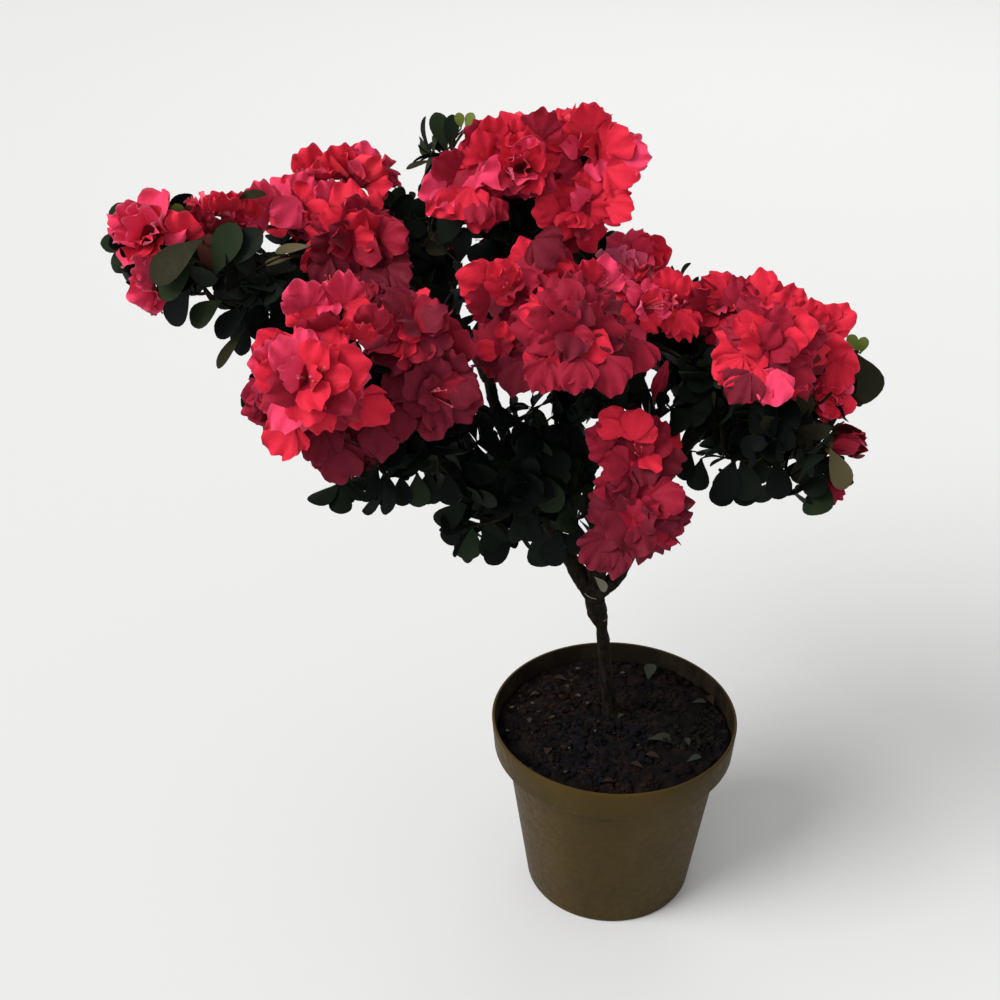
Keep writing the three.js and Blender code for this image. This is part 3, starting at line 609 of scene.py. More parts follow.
            (-54, 114, 326, 32, "ruffled", "mixed", 0), (-16, 112, 324, 30, "ruffled", "crimson", 0),
        ],
        "tips": [],
        "shoots": 6, "seed": 20, "fine": 80, "leaf": 18, "sprays": mixedSprays,
    },
    "back_far_right": {
        "limb": "right", "share": 0.82, "centre": (46, 52, 306), "reach": (40, 34, 32),
        "blooms": [(50, 72, 312, 42, "open", "mixed", 0), (76, 56, 314, 36, "open", "crimson", 0)],
        "extraBlooms": [(28, 76, 304, 30, "ruffled", "rosy", 0), (64, 72, 296, 26, "ruffled", "crimson", 0)],
        "tips": [],
        "shoots": 6, "seed": 21, "fine": 70, "leaf": 18, "sprays": mixedSprays,
    },
}
clearing = {"centre": (-66, 0, 300), "reach": (17, 70, 21)}
skyGaps = [  # sky that the photograph shows, centre and reach: no finer leaves there
    ((-35, 52, 442), (62, 46, 24)), ((-185, 5, 418), (42, 40, 18)), ((-214, -20, 340), (34, 40, 17)),
    ((-186, -30, 332), (18, 30, 9)), ((-152, 20, 414), (26, 40, 16)), ((104, -10, 262), (24, 50, 12)),
    ((66, -20, 250), (40, 50, 9)), ((-74, 40, 440), (30, 60, 17)), ((128, 0, 332), (22, 50, 42)),
    ((128, -10, 278), (27, 50, 32)), ((26, -55, 232), (32, 30, 24)), ((-55, -40, 214), (30, 30, 16)),
    ((14, -40, 288), (11, 40, 13)), ((-64, -30, 312), (7, 40, 11)), ((46, 52, 352), (64, 50, 17)),
    ((88, -36, 251), (34, 40, 12)), ((130, -10, 305), (22, 50, 20)), ((110, -44, 310), (13, 26, 14)),
    ((-50, -52, 236), (10, 14, 9)),
]
openSpaces = [{"centre": centre, "reach": reach} for centre, reach in skyGaps]
growth = {
    "spaceLimit": 1.25, "entryShare": 0.5, "boughBendAt": 0.45, "boughBend": 0.12, "stemOverlap": 2,
    "mainCount": 4, "mainShare": 0.42, "mainRoots": (0.55, 0.4),
    "shootRoots": (0.6, 0.95), "headingAt": 0.9, "shootShare": (0.55, 0.72), "shootSpacing": 16,
    "bloomSpacing": 0.4, "triedEach": 3, "triedExtra": 8, "rootwardLimit": 0.85, "freeShare": 0.9,
    "bloomSeat": 0.1, "bloomTurn": 0.8, "massSeedStep": 1009, "endSeedStep": 37,
}
fineGrowth = {
    "seed": 5003, "reach": (0.3, 0.95), "jitter": 5, "spacing": 8.5, "ahead": 12, "shortest": 7,
    "leaveAt": (0.35, 0.5, 0.65, 0.8, 0.95), "bendCost": 14, "bend": 0.6, "leafTwigLongest": 40,
    "bloomSeats": {"open": 0.26, "ruffled": 0.24, "cup": 0.3, "bud": 0.55},
}
twigRadii = {
    "stem": (1.9, 1.35), "main": (1.35, 0.95), "end": (0.95, 0.7), "smallBloom": (0.8, 0.6),
    "fine": (0.7, 0.45), "leaf": (0.55, 0.35),
}
# Room kept clear: round a bloom and in front of it, in shares of its width, and in front of each leaf and
# petal that the photograph shows, as a share of its length and the least length that counts
clearOf = {
    "bloom": 0.56, "under": 0.3, "over": 0.35, "front": 0.1, "frontShare": 0.9,
    "leaves": (0.42, 0), "petals": (0.6, 14), "behindThem": 12,
}
viewer = np.array((-60.7, -666.7, 637.0))  # the side that the photograph is taken from


def shareOfReach(space, spot):
    return float(np.linalg.norm((np.asarray(spot) - space["centre"]) / np.array(space["reach"], float)))


def inReach(space, direction, share):
    return np.array(space["centre"], float) + direction * np.array(space["reach"], float) * share


def spreadDirections(count, turn):
    spread = []
    for i in range(count):
        height = 1 - (2 * i + 1) / count
        level = math.sqrt(1 - height * height)
        angle = goldenAngle * i + turn
        spread.append(np.array((level * math.cos(angle), level * math.sin(angle), height)))
    return spread


def leafFits(mass, spot):
    own = shareOfReach(mass, spot)
    return (
        own < growth["spaceLimit"]
        and shareOfReach(clearing, spot) > 1
        and all(other is mass or shareOfReach(other, spot) > own for other in masses.values())
    )


def inOpenSpace(spot):
    return any(shareOfReach(space, spot) < 1 for space in openSpaces)


def boughOf(mass):
    centre = np.array(mass["centre"], float)
    limb = limbCurves[mass["limb"]]
    start, along = limb(mass["share"]), tangentOf(limb, mass["share"])
    if mass["share"] == 1:
        return {"entry": start, "heading": along, "curve": None}
    inside = growth["entryShare"] / shareOfReach(mass, start)
    entry = centre + (start - centre) * min(1, inside)
    middle = start + (entry - start) * growth["boughBendAt"]
    middle = middle + along * growth["boughBend"] * np.linalg.norm(entry - start)
    curve = smoothCurve([start, middle + mass.get("bend", (0, 0, 0)), entry])
    return {"entry": entry, "heading": tangentOf(curve, 1), "curve": curve}


def growTwig(mass, kind, curve):
    mass["twigs"].append({"curve": curve, "radii": twigRadii[kind]})


def planMass(mass):
    # the stem, its main twigs, and the ends its shoots and blooms grow at
    sow(mass["seed"] * growth["massSeedStep"])
    bough = mass["bough"] = boughOf(mass)
    entry, heading, centre = bough["entry"], bough["heading"], np.array(mass["centre"], float)
    rootStem = twigCurve(entry + heading * fitGap, heading, centre)
    turn = mass["turn"] = draw(0, fullTurn)
    mass["twigs"], mass["mains"] = [], []
    growTwig(mass, "stem", twigCurve(entry - heading * growth["stemOverlap"], heading, centre))
    first, span = growth["mainRoots"]
    for i, direction in enumerate(spreadDirections(growth["mainCount"], turn)):
        share = first + span * i / (growth["mainCount"] - 1)
        curve = twigCurve(rootStem(share), heading, inReach(mass, direction, growth["mainShare"]))
        mass["mains"].append({"direction": direction, "curve": curve})
        growTwig(mass, "main", curve)
    marked = [*mass["blooms"], *[(*tip, 0) for tip in mass["tips"]]]
    mass["ends"] = [{"place": np.array(m[:3], float), "width": m[3], "look": m[4:]} for m in marked]
    tried = growth["triedEach"] * mass["shoots"] + growth["triedExtra"]
    spread = [(d, inReach(mass, d, draw(*growth["shootShare"]))) for d in spreadDirections(tried, turn + 1)]

    def isOpen(direction, place):
        return (
            direction.dot(-heading) < growth["rootwardLimit"]
            and all(
                np.linalg.norm(end["place"] - place)
                > growth["shootSpacing"] + growth["bloomSpacing"] * end["width"]
                for end in mass["ends"]
            )
            and leafFits(mass, inReach(mass, direction, growth["freeShare"]))
        )

    free = [place for direction, place in spread if isOpen(direction, place)]
    step = max(1, len(free) / mass["shoots"])
    for i in range(min(mass["shoots"], len(free))):
        mass["ends"].append({"place": free[int(i * step)], "width": 0})


def seatBloom(end, start, heading):
    # the bloom's middle stands at its place, turned outward and then a share to the front
    form, _, front, *seat = end["look"]
    seat = seat[0] if seat else fineGrowth["bloomSeats"][form]
    tip = end["tip"]
    tip["axis"] = unit(tip["axis"] * (1 - front) + unit(viewer - end["place"]) * front)
    tip["side"] = unit(tip["side"] - tip["axis"] * tip["side"].dot(tip["axis"]))
    tip["other"] = np.cross(tip["axis"], tip["side"])
    tip["spot"] = end["place"] - tip["axis"] * seat * end["width"]
    return twigCurve(start, heading, tip["spot"])


def growEnd(mass, end, index):
    # the twig of a marked shoot or bloom, and the frame at its tip
    sow(mass["seed"] * growth["massSeedStep"] + growth["endSeedStep"] * (index + 1))
    outward = unit(end["place"] - mass["centre"])
    main = max(mass["mains"], key=lambda item: item["direction"].dot(outward))
    start = main["curve"](draw(*growth["shootRoots"]))
    heading = tangentOf(main["curve"], growth["headingAt"])
    curve = twigCurve(start, heading, end["place"] - outward * growth["bloomSeat"] * end["width"])
    tip = end["tip"] = frameOn(curve)
    if end["width"]:
        turned = growth["bloomTurn"]
        tip["axis"] = unit(tip["axis"] * (1 - turned) + outward * turned)
        curve = seatBloom(end, start, heading)
    end["firstTurn"] = draw(0, fullTurn)
    growTwig(mass, "end", curve)


def splitAlong(offset, way):
    # how far along the way, and how far off it
    along = offset.dot(way)
    return along, np.linalg.norm(offset - way * along)


def coveredSpot(spot, share=clearOf["bloom"]):
    # in a bloom, or between the viewer's side and a bloom that faces it, or a leaf or petal in view
    for head in heads:
        offset, width = spot - head["place"], head["width"]
        rise, off = splitAlong(offset, head["tip"]["axis"])
        if -clearOf["under"] * width < rise < clearOf["over"] * width and off < share * width:
            return True
        if head["look"][2] > 0:
            ahead, off = splitAlong(offset, unit(viewer - head["place"]))
            if ahead > -clearOf["front"] * width and off < share * width * clearOf["frontShare"]:
                return True
    offsets = spot - inView["middles"]
    ahead = (offsets * inView["towards"]).sum(1)
    off = np.linalg.norm(offsets - inView["towards"] * ahead[:, None], axis=1)
    return bool(((ahead > -clearOf["behindThem"]) & (off < inView["limits"])).any())


def nearestTwig(mass, place):
    # where a finer twig leaves: near, and with little bend
    best = None
    for twig in mass["twigs"]:
        for t in fineGrowth["leaveAt"]:
            spot, along = twig["curve"](t), tangentOf(twig["curve"], t)
            way = place - spot
            length = np.linalg.norm(way)
            if length < fineGrowth["shortest"]:
                continue
            cost = length + fineGrowth["bendCost"] * (1 - along.dot(way) / length)
            if best is None or cost < best[0]:
                best = (cost, spot, along)
    return best[1], best[2]


def growFineTwig(mass, place, kind="fine"):
    spot, along = nearestTwig(mass, place)
    curve = twigCurve(spot, unit(along + unit(place - spot) * fineGrowth["bend"]), place)
    growTwig(mass, kind, curve)
    return {**frameOn(curve), "curve": curve}


def setRows(mass, kind):
    # foot, point, tint and any breadth of the leaves or petals that the photograph shows
    return [(np.array(row[:3], float), np.array(row[3:6], float), *row[6:]) for row in mass.get(kind, [])]


def growExtras(mass):
    # small blooms and single leaves that the photograph shows, each on a fine twig of its own
    for x, y, z, width, *look in mass.get("extraBlooms", []):
        place = np.array((x, y, z), float)
        start, along = nearestTwig(mass, place)
        tip = frameOn(twigCurve(start, along, place))
        end = {"place": place, "width": width, "look": look, "firstTurn": 1.0, "tip": tip}
        growTwig(mass, "smallBloom", seatBloom(end, start, along))
        mass["ends"].append(end)
    for foot, *_ in setRows(mass, "leaves"):
        # the leaf at the fork is far from every twig and sits on the bark itself
        if np.linalg.norm(foot - nearestTwig(mass, foot)[0]) < fineGrowth["leafTwigLongest"]:
            growFineTwig(mass, foot, "leaf")


def growFineShoots(mass):
    # the same rule carried on: finer shoots leave the nearest twig and end in open parts of the reach
    sow(mass["seed"] * growth["massSeedStep"] + fineGrowth["seed"])
    mass["fineTips"] = []
    spread = fineGrowth["jitter"]
    for direction in spreadDirections(mass["fine"], mass["turn"] + 2):
        share = draw(*fineGrowth["reach"])
        place = inReach(mass, direction, share) + [draw(-spread, spread) for _ in range(3)]
        ahead = place + unit(place - mass["centre"]) * fineGrowth["ahead"]
        if not leafFits(mass, ahead) or coveredSpot(place) or inOpenSpace(place) or inOpenSpace(ahead):
            continue
        if any(np.linalg.norm(place - other["spot"]) < fineGrowth["spacing"] for other in mass["fineTips"]):
            continue
        mass["fineTips"].append(growFineTwig(mass, place))
    for place in mass.get("darkTips", []):
        mass["fineTips"].append({**growFineTwig(mass, np.array(place, float)), "marked": True})


for mass in masses.values():
    planMass(mass)
for mass in masses.values():
    for index, end in enumerate(mass["ends"]):
        growEnd(mass, end, index)
    growExtras(mass)
heads = [end for mass in masses.values() for end in mass["ends"] if end["width"]]
inView = {"middles": [], "towards": [], "limits": []}  # leaves and petals that no other leaf may hide
for mass in masses.values():
    for kind in ("leaves", "petals"):
        share, shortest = clearOf[kind]
        for foot, point, *_ in setRows(mass, kind):
            middle = (foot + point) / 2
            inView["middles"].append(middle)
            inView["towards"].append(unit(viewer - middle))
            inView["limits"].append(share * max(shortest, math.dist(foot, point)))
inView = {key: np.array(values) for key, values in inView.items()}
for mass in masses.values():
    growFineShoots(mass)
print("growth rule:", sum(len(mass["twigs"]) for mass in masses.values()), "twigs")


# Limbs and twigs as bevelled curves turned into meshes
def tubeFrom(chains, roundness):
    # chains: lists of (place, radius) in millimetres
    clearSelection()
    bpy.ops.curve.primitive_bezier_curve_add(location=(0, 0, 0))
    piece = bpy.context.active_object
    data = piece.data
    data.splines.clear()
    for chain in chains:
        line = data.splines.new("POLY")
        line.points.add(len(chain) - 1)
        for point, (place, radius) in zip(line.points, chain):
            point.co = (*(np.asarray(place) * metre), 1)
            point.radius = radius
    data.dimensions = "3D"
    data.bevel_depth = metre
    data.bevel_resolution = roundness
    data.use_fill_caps = True
    bpy.ops.object.convert(target="MESH")
    piece = bpy.context.active_object
    closeShell(mergeWithin=1e-6)
    return piece


limbLook = {
    "lumps": {"size": 0.006, "strength": 0.0011}, "furrows": {"size": 0.0016, "strength": 0.0005},
    "fullReliefFrom": 4, "slimmer": 0.9, "measuredIn": 40, "ringsEvery": 1.1, "fewestRings": 12,
    "scarEvery": 13, "scarWidth": (0.02, 0.05), "scarRise": 0.14, "flareLength": 4, "seedStep": 97,
}
boughLook = {"radii": (2.7, 2.3, 1.9), "startFlare": 0.35}


def addRelief(piece, name, relief, share=1, **settings):
    texture = bpy.data.textures.get(name) or bpy.data.textures.new(name, "CLOUDS")
    texture.noise_scale = relief["size"]
    addModifier(
        piece, "DISPLACE", texture=texture, texture_coords="LOCAL", mid_level=0.5,
        strength=relief["strength"] * share, **settings,
    )


def limbPiece(name, curve, radii, node, flare=0, roundness=5):
    # a tapering tube with a flare at its start, scars round it and the bark's relief
    parts = limbLook["measuredIn"]
    length = sum(np.linalg.norm(curve((i + 1) / parts) - curve(i / parts)) for i in range(parts))
    steps = max(limbLook["fewestRings"], int(length / limbLook["ringsEvery"]))
    sow(len(name) * limbLook["seedStep"] + int(length * 10))
    scars = [(draw(0, 1), draw(*limbLook["scarWidth"])) for _ in range(int(length / limbLook["scarEvery"]))]
    chain = []
    for i in range(steps + 1):
        t = i / steps
        radius = float(np.interp(t * (len(radii) - 1), range(len(radii)), radii))
        swell = sum(math.exp(-(((t - at) / width) ** 2)) for at, width in scars)
        radius *= 1 + limbLook["scarRise"] * min(1, swell)
        radius *= 1 + flare * math.exp(-t * length / limbLook["flareLength"])
        chain.append((curve(t), radius))
    piece = tubeFrom([chain], roundness)
    for key in ("lumps", "furrows"):
        addRelief(piece, "bark_" + key, limbLook[key], min(1, radii[0] / limbLook["fullReliefFrom"]))
    applyModifiers(piece)
    bpy.ops.object.shade_smooth()
    finishPiece(piece, name, [bark], [node])


for name, points in limbPoints.items():
    node = name if name == "trunk" else name + "_limb"
    radii = [point[3] * limbLook["slimmer"] for point in points]
    limbPiece(node + "_bark", limbCurves[name], radii, node, roundness=7)
for name, mass in masses.items():
    if mass["bough"]["curve"]:
        node, curve = "bough_" + name, mass["bough"]["curve"]
        limbPiece(node + "_bark", curve, boughLook["radii"], node, boughLook["startFlare"])
# a short third stem that fills the dark wedge over the fork
forkStem = {
    "places": [(-12.6, -2, 184), (-12.6, -6, 199), (-12.6, -12, 214), (-9, -30, 244), (-5, -50, 266)],
    "radii": (4.6, 4.8, 4.4, 2.2, 1.3),
}
limbPiece("fork_stem_bark", smoothCurve(forkStem["places"]), forkStem["radii"], "right_limb")
print("limbs and boughs with bark relief")

# Two thin pale ties round the neck, over and under its thick knob: place, radius and turns in degrees
ties = {
    "thread": 0.3, "sides": 6, "segments": 32, "colour": (120, 108, 100),
    "finish": {"specular": 0.06, "grain": (900, 0.6, 0.8, 0.3, 0.0003)},
    "rings": [((-14, -2.4, 188.5), 5.6, (14, 22)), ((-9.8, 3, 169), 4.4, (4, 10))],
}
tieMaterial = plainMaterial("paleTie", onScreen(*ties["colour"]), ties["finish"])
for i, (place, radius, turns) in enumerate(ties["rings"]):
    clearSelection()
    bpy.ops.mesh.primitive_torus_add(
        major_segments=ties["segments"], minor_segments=ties["sides"], major_radius=radius * metre,
        minor_radius=ties["thread"] * metre, location=[value * metre for value in place],
        rotation=(math.radians(turns[0]), math.radians(turns[1]), 0),
    )
    tie = bpy.context.active_object
    bpy.ops.object.transform_apply(location=True, rotation=True)
    bpy.ops.object.shade_smooth()
    finishPiece(tie, f"neck_tie_{i + 1}", [tieMaterial], ["trunk"])

twigSteps = 7
for name, mass in masses.items():
    chains = []
    for twig in mass["twigs"]:
        thick, thin = twig["radii"]
        places = [twig["curve"](i / twigSteps) for i in range(twigSteps + 1)]
        chains.append([(place, thick + (thin - thick) * i / twigSteps) for i, place in enumerate(places)])
    twigs = tubeFrom(chains, 1)
    bpy.ops.object.shade_smooth()
    finishPiece(twigs, "twigs_" + name, [twigBark], ["foliage_" + name])
print("twigs done")


# One leaf and one petal are modelled flat, one unit long, and then copied. A row is its height, half its
# width and how far its sides hang below its middle.
leafShape = {
    "across": 2, "thickness": 0.03,
    "rows": [
        (0, 0.03, 0), (0.08, 0.05, 0), (0.2, 0.115, 0), (0.34, 0.195, 0), (0.5, 0.26, 0), (0.65, 0.29, 0),
        (0.78, 0.275, 0), (0.88, 0.225, 0), (0.96, 0.13, 0), (1, 0.03, 0),
    ],
}
petalShape = {
    "across": 10, "thickness": 0.014,
    "rows": [(0, 0.07, 0), (0.34, 0.31, 0.04), (0.66, 0.46, 0.12), (0.88, 0.42, 0.16), (1, 0.31, 0.13)],
}
stalkShape = {"sides": 4, "radius": 0.012, "length": 0.94, "tip": ((0.02, 2.4), (0.03, 1), (0.02, 0.5))}
edgeThickness, mergeWithin, hair = 0.001, 0.002, 1e-4


def modelBlade(shape):
    clearSelection()
    rows, last = shape["rows"], len(shape["rows"]) - 1
    bpy.ops.mesh.primitive_grid_add(
        x_subdivisions=shape["across"], y_subdivisions=last, size=1, location=(0, 0.5, 0)
    )
    blade = bpy.context.active_object
    bpy.ops.object.transform_apply(location=True)
    bpy.ops.object.mode_set(mode="EDIT")
    for i, (_, half, _) in enumerate(rows):
        level = i / last
        selectWhere(blade, lambda co: abs(co.y - level) < hair)
        bpy.ops.transform.resize(value=(2 * half, 1, 1), center_override=(0, level, 0))
    bpy.ops.object.mode_set(mode="OBJECT")
    # each row goes to its height; two sheets will meet at the margin, with full thickness inside it
    inner = blade.vertex_groups.new(name="inner")
    for vertex in blade.data.vertices:
        row = round(vertex.co.y * last)
        inside = 0 < row < last and abs(vertex.co.x) < rows[row][1] - hair
        vertex.co.y = rows[row][0]
        inner.add([vertex.index], 1 if inside else edgeThickness, "REPLACE")
    addModifier(
        blade, "SOLIDIFY", thickness=shape["thickness"], offset=0, vertex_group="inner", use_rim=False,
    )
    applyModifiers(blade)
    closeShell(mergeWithin)
    return takeShape(blade)


def modelStalk(shape):
    clearSelection()
    bpy.ops.mesh.primitive_cylinder_add(
        vertices=shape["sides"], radius=shape["radius"], depth=shape["length"],
        location=(0, shape["length"] / 2, 0), rotation=(math.pi / 2, 0, 0),
    )
    stalk = bpy.context.active_object
    bpy.ops.object.transform_apply(location=True, rotation=True)
    bpy.ops.object.mode_set(mode="EDIT")
    selectWhere(stalk, lambda co: co.y > shape["length"] / 2)
    for step, factor in shape["tip"]:
        bpy.ops.mesh.extrude_region_move(TRANSFORM_OT_translate={"value": (0, step, 0)})
        bpy.ops.transform.resize(value=(factor, 1, factor))
    bpy.ops.object.mode_set(mode="OBJECT")
    return takeShape(stalk)


def takeShape(piece):
    # points, faces and which way each face looks, for the copies
    data = piece.data
    shape = {
        "points": np.array([v.co for v in data.vertices], float),
        "faces": [list(face.vertices) for face in data.polygons],
        "looks": np.array([face.normal.z for face in data.polygons]),
        "middles": np.array([face.center.y for face in data.polygons]),
    }
    bpy.data.objects.remove(piece)
    return shape


leafBlade = modelBlade(leafShape)
petalBlade = modelBlade(petalShape)
stamenStalk = modelStalk(stalkShape)
# in the flat petal the sheet that looks down becomes the inner face, and the lowest part is the throat
innerSheetLook, throatHeight = -0.3, 0.24


class Copies:
    # copies of small shapes, gathered into one mesh
    def __init__(self):
        self.points, self.faces, self.tints, self.count = [], [], [], 0

    def add(self, shape, points, tint, innerTint=None, throatTint=None):
        self.points.append(points)
        self.faces.extend([corner + self.count for corner in face] for face in shape["faces"])
        tints = np.full(len(shape["faces"]), tint)
        if innerTint is not None:
            tints[shape["looks"] < innerSheetLook] = innerTint
        if throatTint is not None:
            tints[shape["middles"] < throatHeight] = throatTint
        self.tints.extend(tints.tolist())
        self.count += len(points)

    def makePiece(self, name, materials, nodes=()):
        data = bpy.data.meshes.new(name)
        data.from_pydata((np.concatenate(self.points) * metre).tolist(), [], self.faces)
        data.polygons.foreach_set("material_index", self.tints)
        data.update()
        piece = bpy.data.objects.new(name, data)
        bpy.context.scene.collection.objects.link(piece)
        clearSelection()
        piece.select_set(True)
        bpy.context.view_layer.objects.active = piece
        bpy.ops.object.shade_smooth_by_angle(angle=math.radians(70))
        finishPiece(piece, name, materials, nodes)


def leafPoints(blade, foot, along, up, length, breadth, arch, fold):
    # a leaf blade laid from its foot along a direction, arched down and folded up along its midrib
    along = unit(along)
    up = unit(up - along * along.dot(up))
    across = np.cross(along, up)
    x, y, z = blade["points"].T
    bend = arch * y
    forward = np.where(abs(bend) > 1e-6, np.sin(bend) / max(abs(arch), 1e-6) * np.sign(arch), y) * length
    drop = (1 - np.cos(bend)) / (arch if abs(arch) > 1e-6 else 1) * length
    rise = (np.abs(x) * fold + z) * length - drop
    return foot + np.outer(forward, along) + np.outer(x * breadth * length, across) + np.outer(rise, up)


leafLook = {
    "length": (0.78, 1.12), "arch": (0.1, 0.8), "fold": (0.05, 0.4), "breadth": (0.92, 1.2),
    "turnSpread": 0.3, "tiltSpread": 16, "footAhead": 0.5, "footsBack": 4,
    "shorter": 0.65, "clear": 0.4, "middleClear": 0.8,
}
whorls = {
    "shoot": {"leaves": 6, "tilt": 58, "scale": 1}, "shootYoung": {"leaves": 3, "tilt": 24, "scale": 0.5},
    "fine": {"leaves": 6, "tilt": 62, "scale": 0.95}, "fineYoung": {"leaves": 2, "tilt": 24, "scale": 0.5},
    "fineLower": {"leaves": 2, "tilt": 62, "scale": 0.85}, "bloom": {"leaves": 5, "tilt": 96, "scale": 0.9},
}
setLeafLook = {"towardsViewer": 0.6, "upward": 0.5, "arch": 0.35, "fold": 0.2}


def dealFrom(weights):
    names = [name for name, weight in weights.items() for _ in range(weight)]
    return names[int(draw(0, len(names)) * 0.9999)]  # the factor keeps it under the last number


def addWhorl(copies, mass, tip, kind, firstTurn, tint):
    # leaves round a tip; a leaf that would hide a bloom or leave its space is shorter or left out
    whorl, clear = whorls[kind], leafLook["clear"]

    def isOpen(spot):
        fits = tip.get("marked") or (leafFits(mass, spot) and not inOpenSpace(spot))
        return fits and not coveredSpot(spot, clear)

    for i in range(whorl["leaves"]):
        spread = leafLook["turnSpread"]
        angle = firstTurn + i * fullTurn / whorl["leaves"] + draw(-spread, spread)
        spread = leafLook["tiltSpread"]
        along, up = leaning(tip, angle, math.radians(whorl["tilt"] + draw(-spread, spread)))
        length = mass["leaf"] * whorl["scale"] * draw(*leafLook["length"])
        arch, fold, breadth = (draw(*leafLook[key]) for key in ("arch", "fold", "breadth"))
        back = tip["axis"] * draw(0, leafLook["footsBack"]) * whorl["scale"]
        foot = tip["spot"] + along * leafLook["footAhead"] - back
        if not isOpen(foot + along * length):
            length *= leafLook["shorter"]
            middle = foot + along * length * 0.5
            if not isOpen(foot + along * length) or coveredSpot(middle, clear * leafLook["middleClear"]):
                continue
        copies.add(leafBlade, leafPoints(leafBlade, foot, along, up, length, breadth, arch, fold), tint)


def addSetLeaf(copies, foot, point, tint, breadth=1.12):
    along, look = point - foot, setLeafLook
    up = unit(viewer - foot) * look["towardsViewer"] + np.array((0, 0, look["upward"]))
    length = np.linalg.norm(along)
    points = leafPoints(leafBlade, foot, along, up, length, breadth, look["arch"], look["fold"])
    copies.add(leafBlade, points, leafTint[tint])


leafCount, leafSeed = 0, 9001
for name, mass in masses.items():
    copies = Copies()
    sow(mass["seed"] * growth["massSeedStep"] + leafSeed)
    for end in mass["ends"]:
        tint = leafTint[dealFrom(mass["sprays"])]
        for kind in ("bloom",) if end["width"] else ("shoot", "shootYoung"):
            addWhorl(copies, mass, end["tip"], kind, end["firstTurn"], tint)
    for tip in mass["fineTips"]:
        tint = leafTint[dealFrom(mass["sprays"])]
        lower = frameOn(tip["curve"], (0, 1 / 3, 2 / 3))
        for place, kind in ((tip, "fine"), (tip, "fineYoung"), (lower, "fineLower")):
            addWhorl(copies, mass, place, kind, draw(0, fullTurn), tint)
    for row in setRows(mass, "leaves"):
        addSetLeaf(copies, *row)
    leafCount += len(copies.points)
    copies.makePiece("leaves_" + name, leafMaterials, ["foliage_" + name])
print("leaves:", leafCount)


# Blooms: petals dealt by the golden angle over a small dome, from its top to its edge, each pair of numbers
# being for the top and for the edge. A petal is a share of the bloom's width long, up to the longest, and
# the dome's radius makes up the rest. From and to are a petal's lean from the dome at its foot and at its
# tip, astray is how far it turns from the way outward, all in degrees, and inset sets its foot back past the
# middle.
bloomForms = {
    "open": {
        "count": 26, "size": 50, "share": 0.44, "longest": 21, "length": (0.75, 1.05), "from": (4, 40),
        "to": (50, 92), "spread": 80, "astray": 26, "inset": 0.05, "cup": (0.08, 0.02),
        "ruffle": (0.08, 0.08), "breadth": (0.95, 1.0),
    },
    "ruffled": {
        "count": 30, "size": 44, "share": 0.42, "longest": 18, "length": (0.85, 1.05), "from": (14, 46),
        "to": (54, 94), "spread": 86, "astray": 50, "inset": 0.07, "cup": (0.06, 0.02),
        "ruffle": (0.1, 0.095), "breadth": (0.95, 1.1),
    },
    "cup": {
        "count": 14, "size": 0, "share": 0.62, "longest": 24, "length": (0.85, 1), "from": (6, 40),
        "to": (14, 62), "spread": 30, "astray": 20, "inset": 0, "cup": (0.2, 0.12), "ruffle": (0.09, 0.085),
        "breadth": (0.84, 0.95),
    },
    "bud": {
        "count": 6, "size": 0, "share": 1.2, "longest": 24, "length": (1.05, 1), "from": (10, 22),
        "to": (-4, -4), "spread": 10, "astray": 10, "inset": 0, "cup": (0.3, 0.3), "ruffle": (0.03, 0.03),
        "breadth": (0.56, 0.62),
    },
}
# a bloom's tone is painted light or shade: the coral, fair and pink tones make a bloom lighter, the wine and
# dusky tones darker
bloomTones = {
    "rosy": {"rose": 7, "coral": 3, "pink": 2, "scarlet": 2},
    "coral": {"coral": 6, "scarlet": 5, "rose": 3},
    "fair": {"pink": 4, "coral": 5, "rose": 1},
    "pink": {"pink": 5, "coral": 3, "rose": 4},
    "mixed": {"rose": 4, "crimson": 5, "scarlet": 2, "wine": 1},
    "scarlet": {"scarlet": 7, "coral": 2, "rose": 3},
    "crimson": {"crimson": 7, "scarlet": 2, "wine": 3},
    "wine": {"wine": 6, "dusk": 4, "crimson": 2},
    "dusky": {"mauve": 5, "rose": 3, "crimson": 3, "wine": 2},
}
petalInsides = {  # the tint of a petal's inner face for each tint of its outer one
    "crimson": "wine", "rose": "crimson", "scarlet": "crimson", "pink": "rose", "coral": "rose",
    "wine": "dusk", "mauve": "wine", "dusk": "dusk",
}
bloomLook = {
    "petalSpan": 0.92, "closedDome": 0.04, "countLimits": (0.5, 1.7), "insetSpread": (0.6, 1.4),
    "wayAside": 0.8, "wayUp": 0.5, "hangsBelow": -0.3, "paintedShadeBelow": 0.5, "seedStep": 77,
    "stamens": 5, "stamenLean": (4, 24), "stamenLength": 0.42, "stamenArch": (-0.5, 0.2),
    "sepals": 5, "cupSepals": 0.3, "budSepals": 0.5,
}
petalWay = {
    "lean": 22, "footLean": 0.3, "length": (0.8, 1.12), "breadth": (0.86, 1.18), "cup": (-0.3, 1.5),
    "twist": 0.26, "pleats": (4.4, 6.6), "fold": 0.2, "footOut": 0.03,
}
petalKeys = ("length", "from", "to", "cup", "ruffle", "breadth")
petalHeights, petalHalves, petalHang = np.array(petalShape["rows"]).T
petalSteps, halfStep = np.linspace(0, 1.2, 31), 0.02


def summedUp(values):
    return np.concatenate(([0], np.cumsum((values[1:] + values[:-1]) * halfStep)))


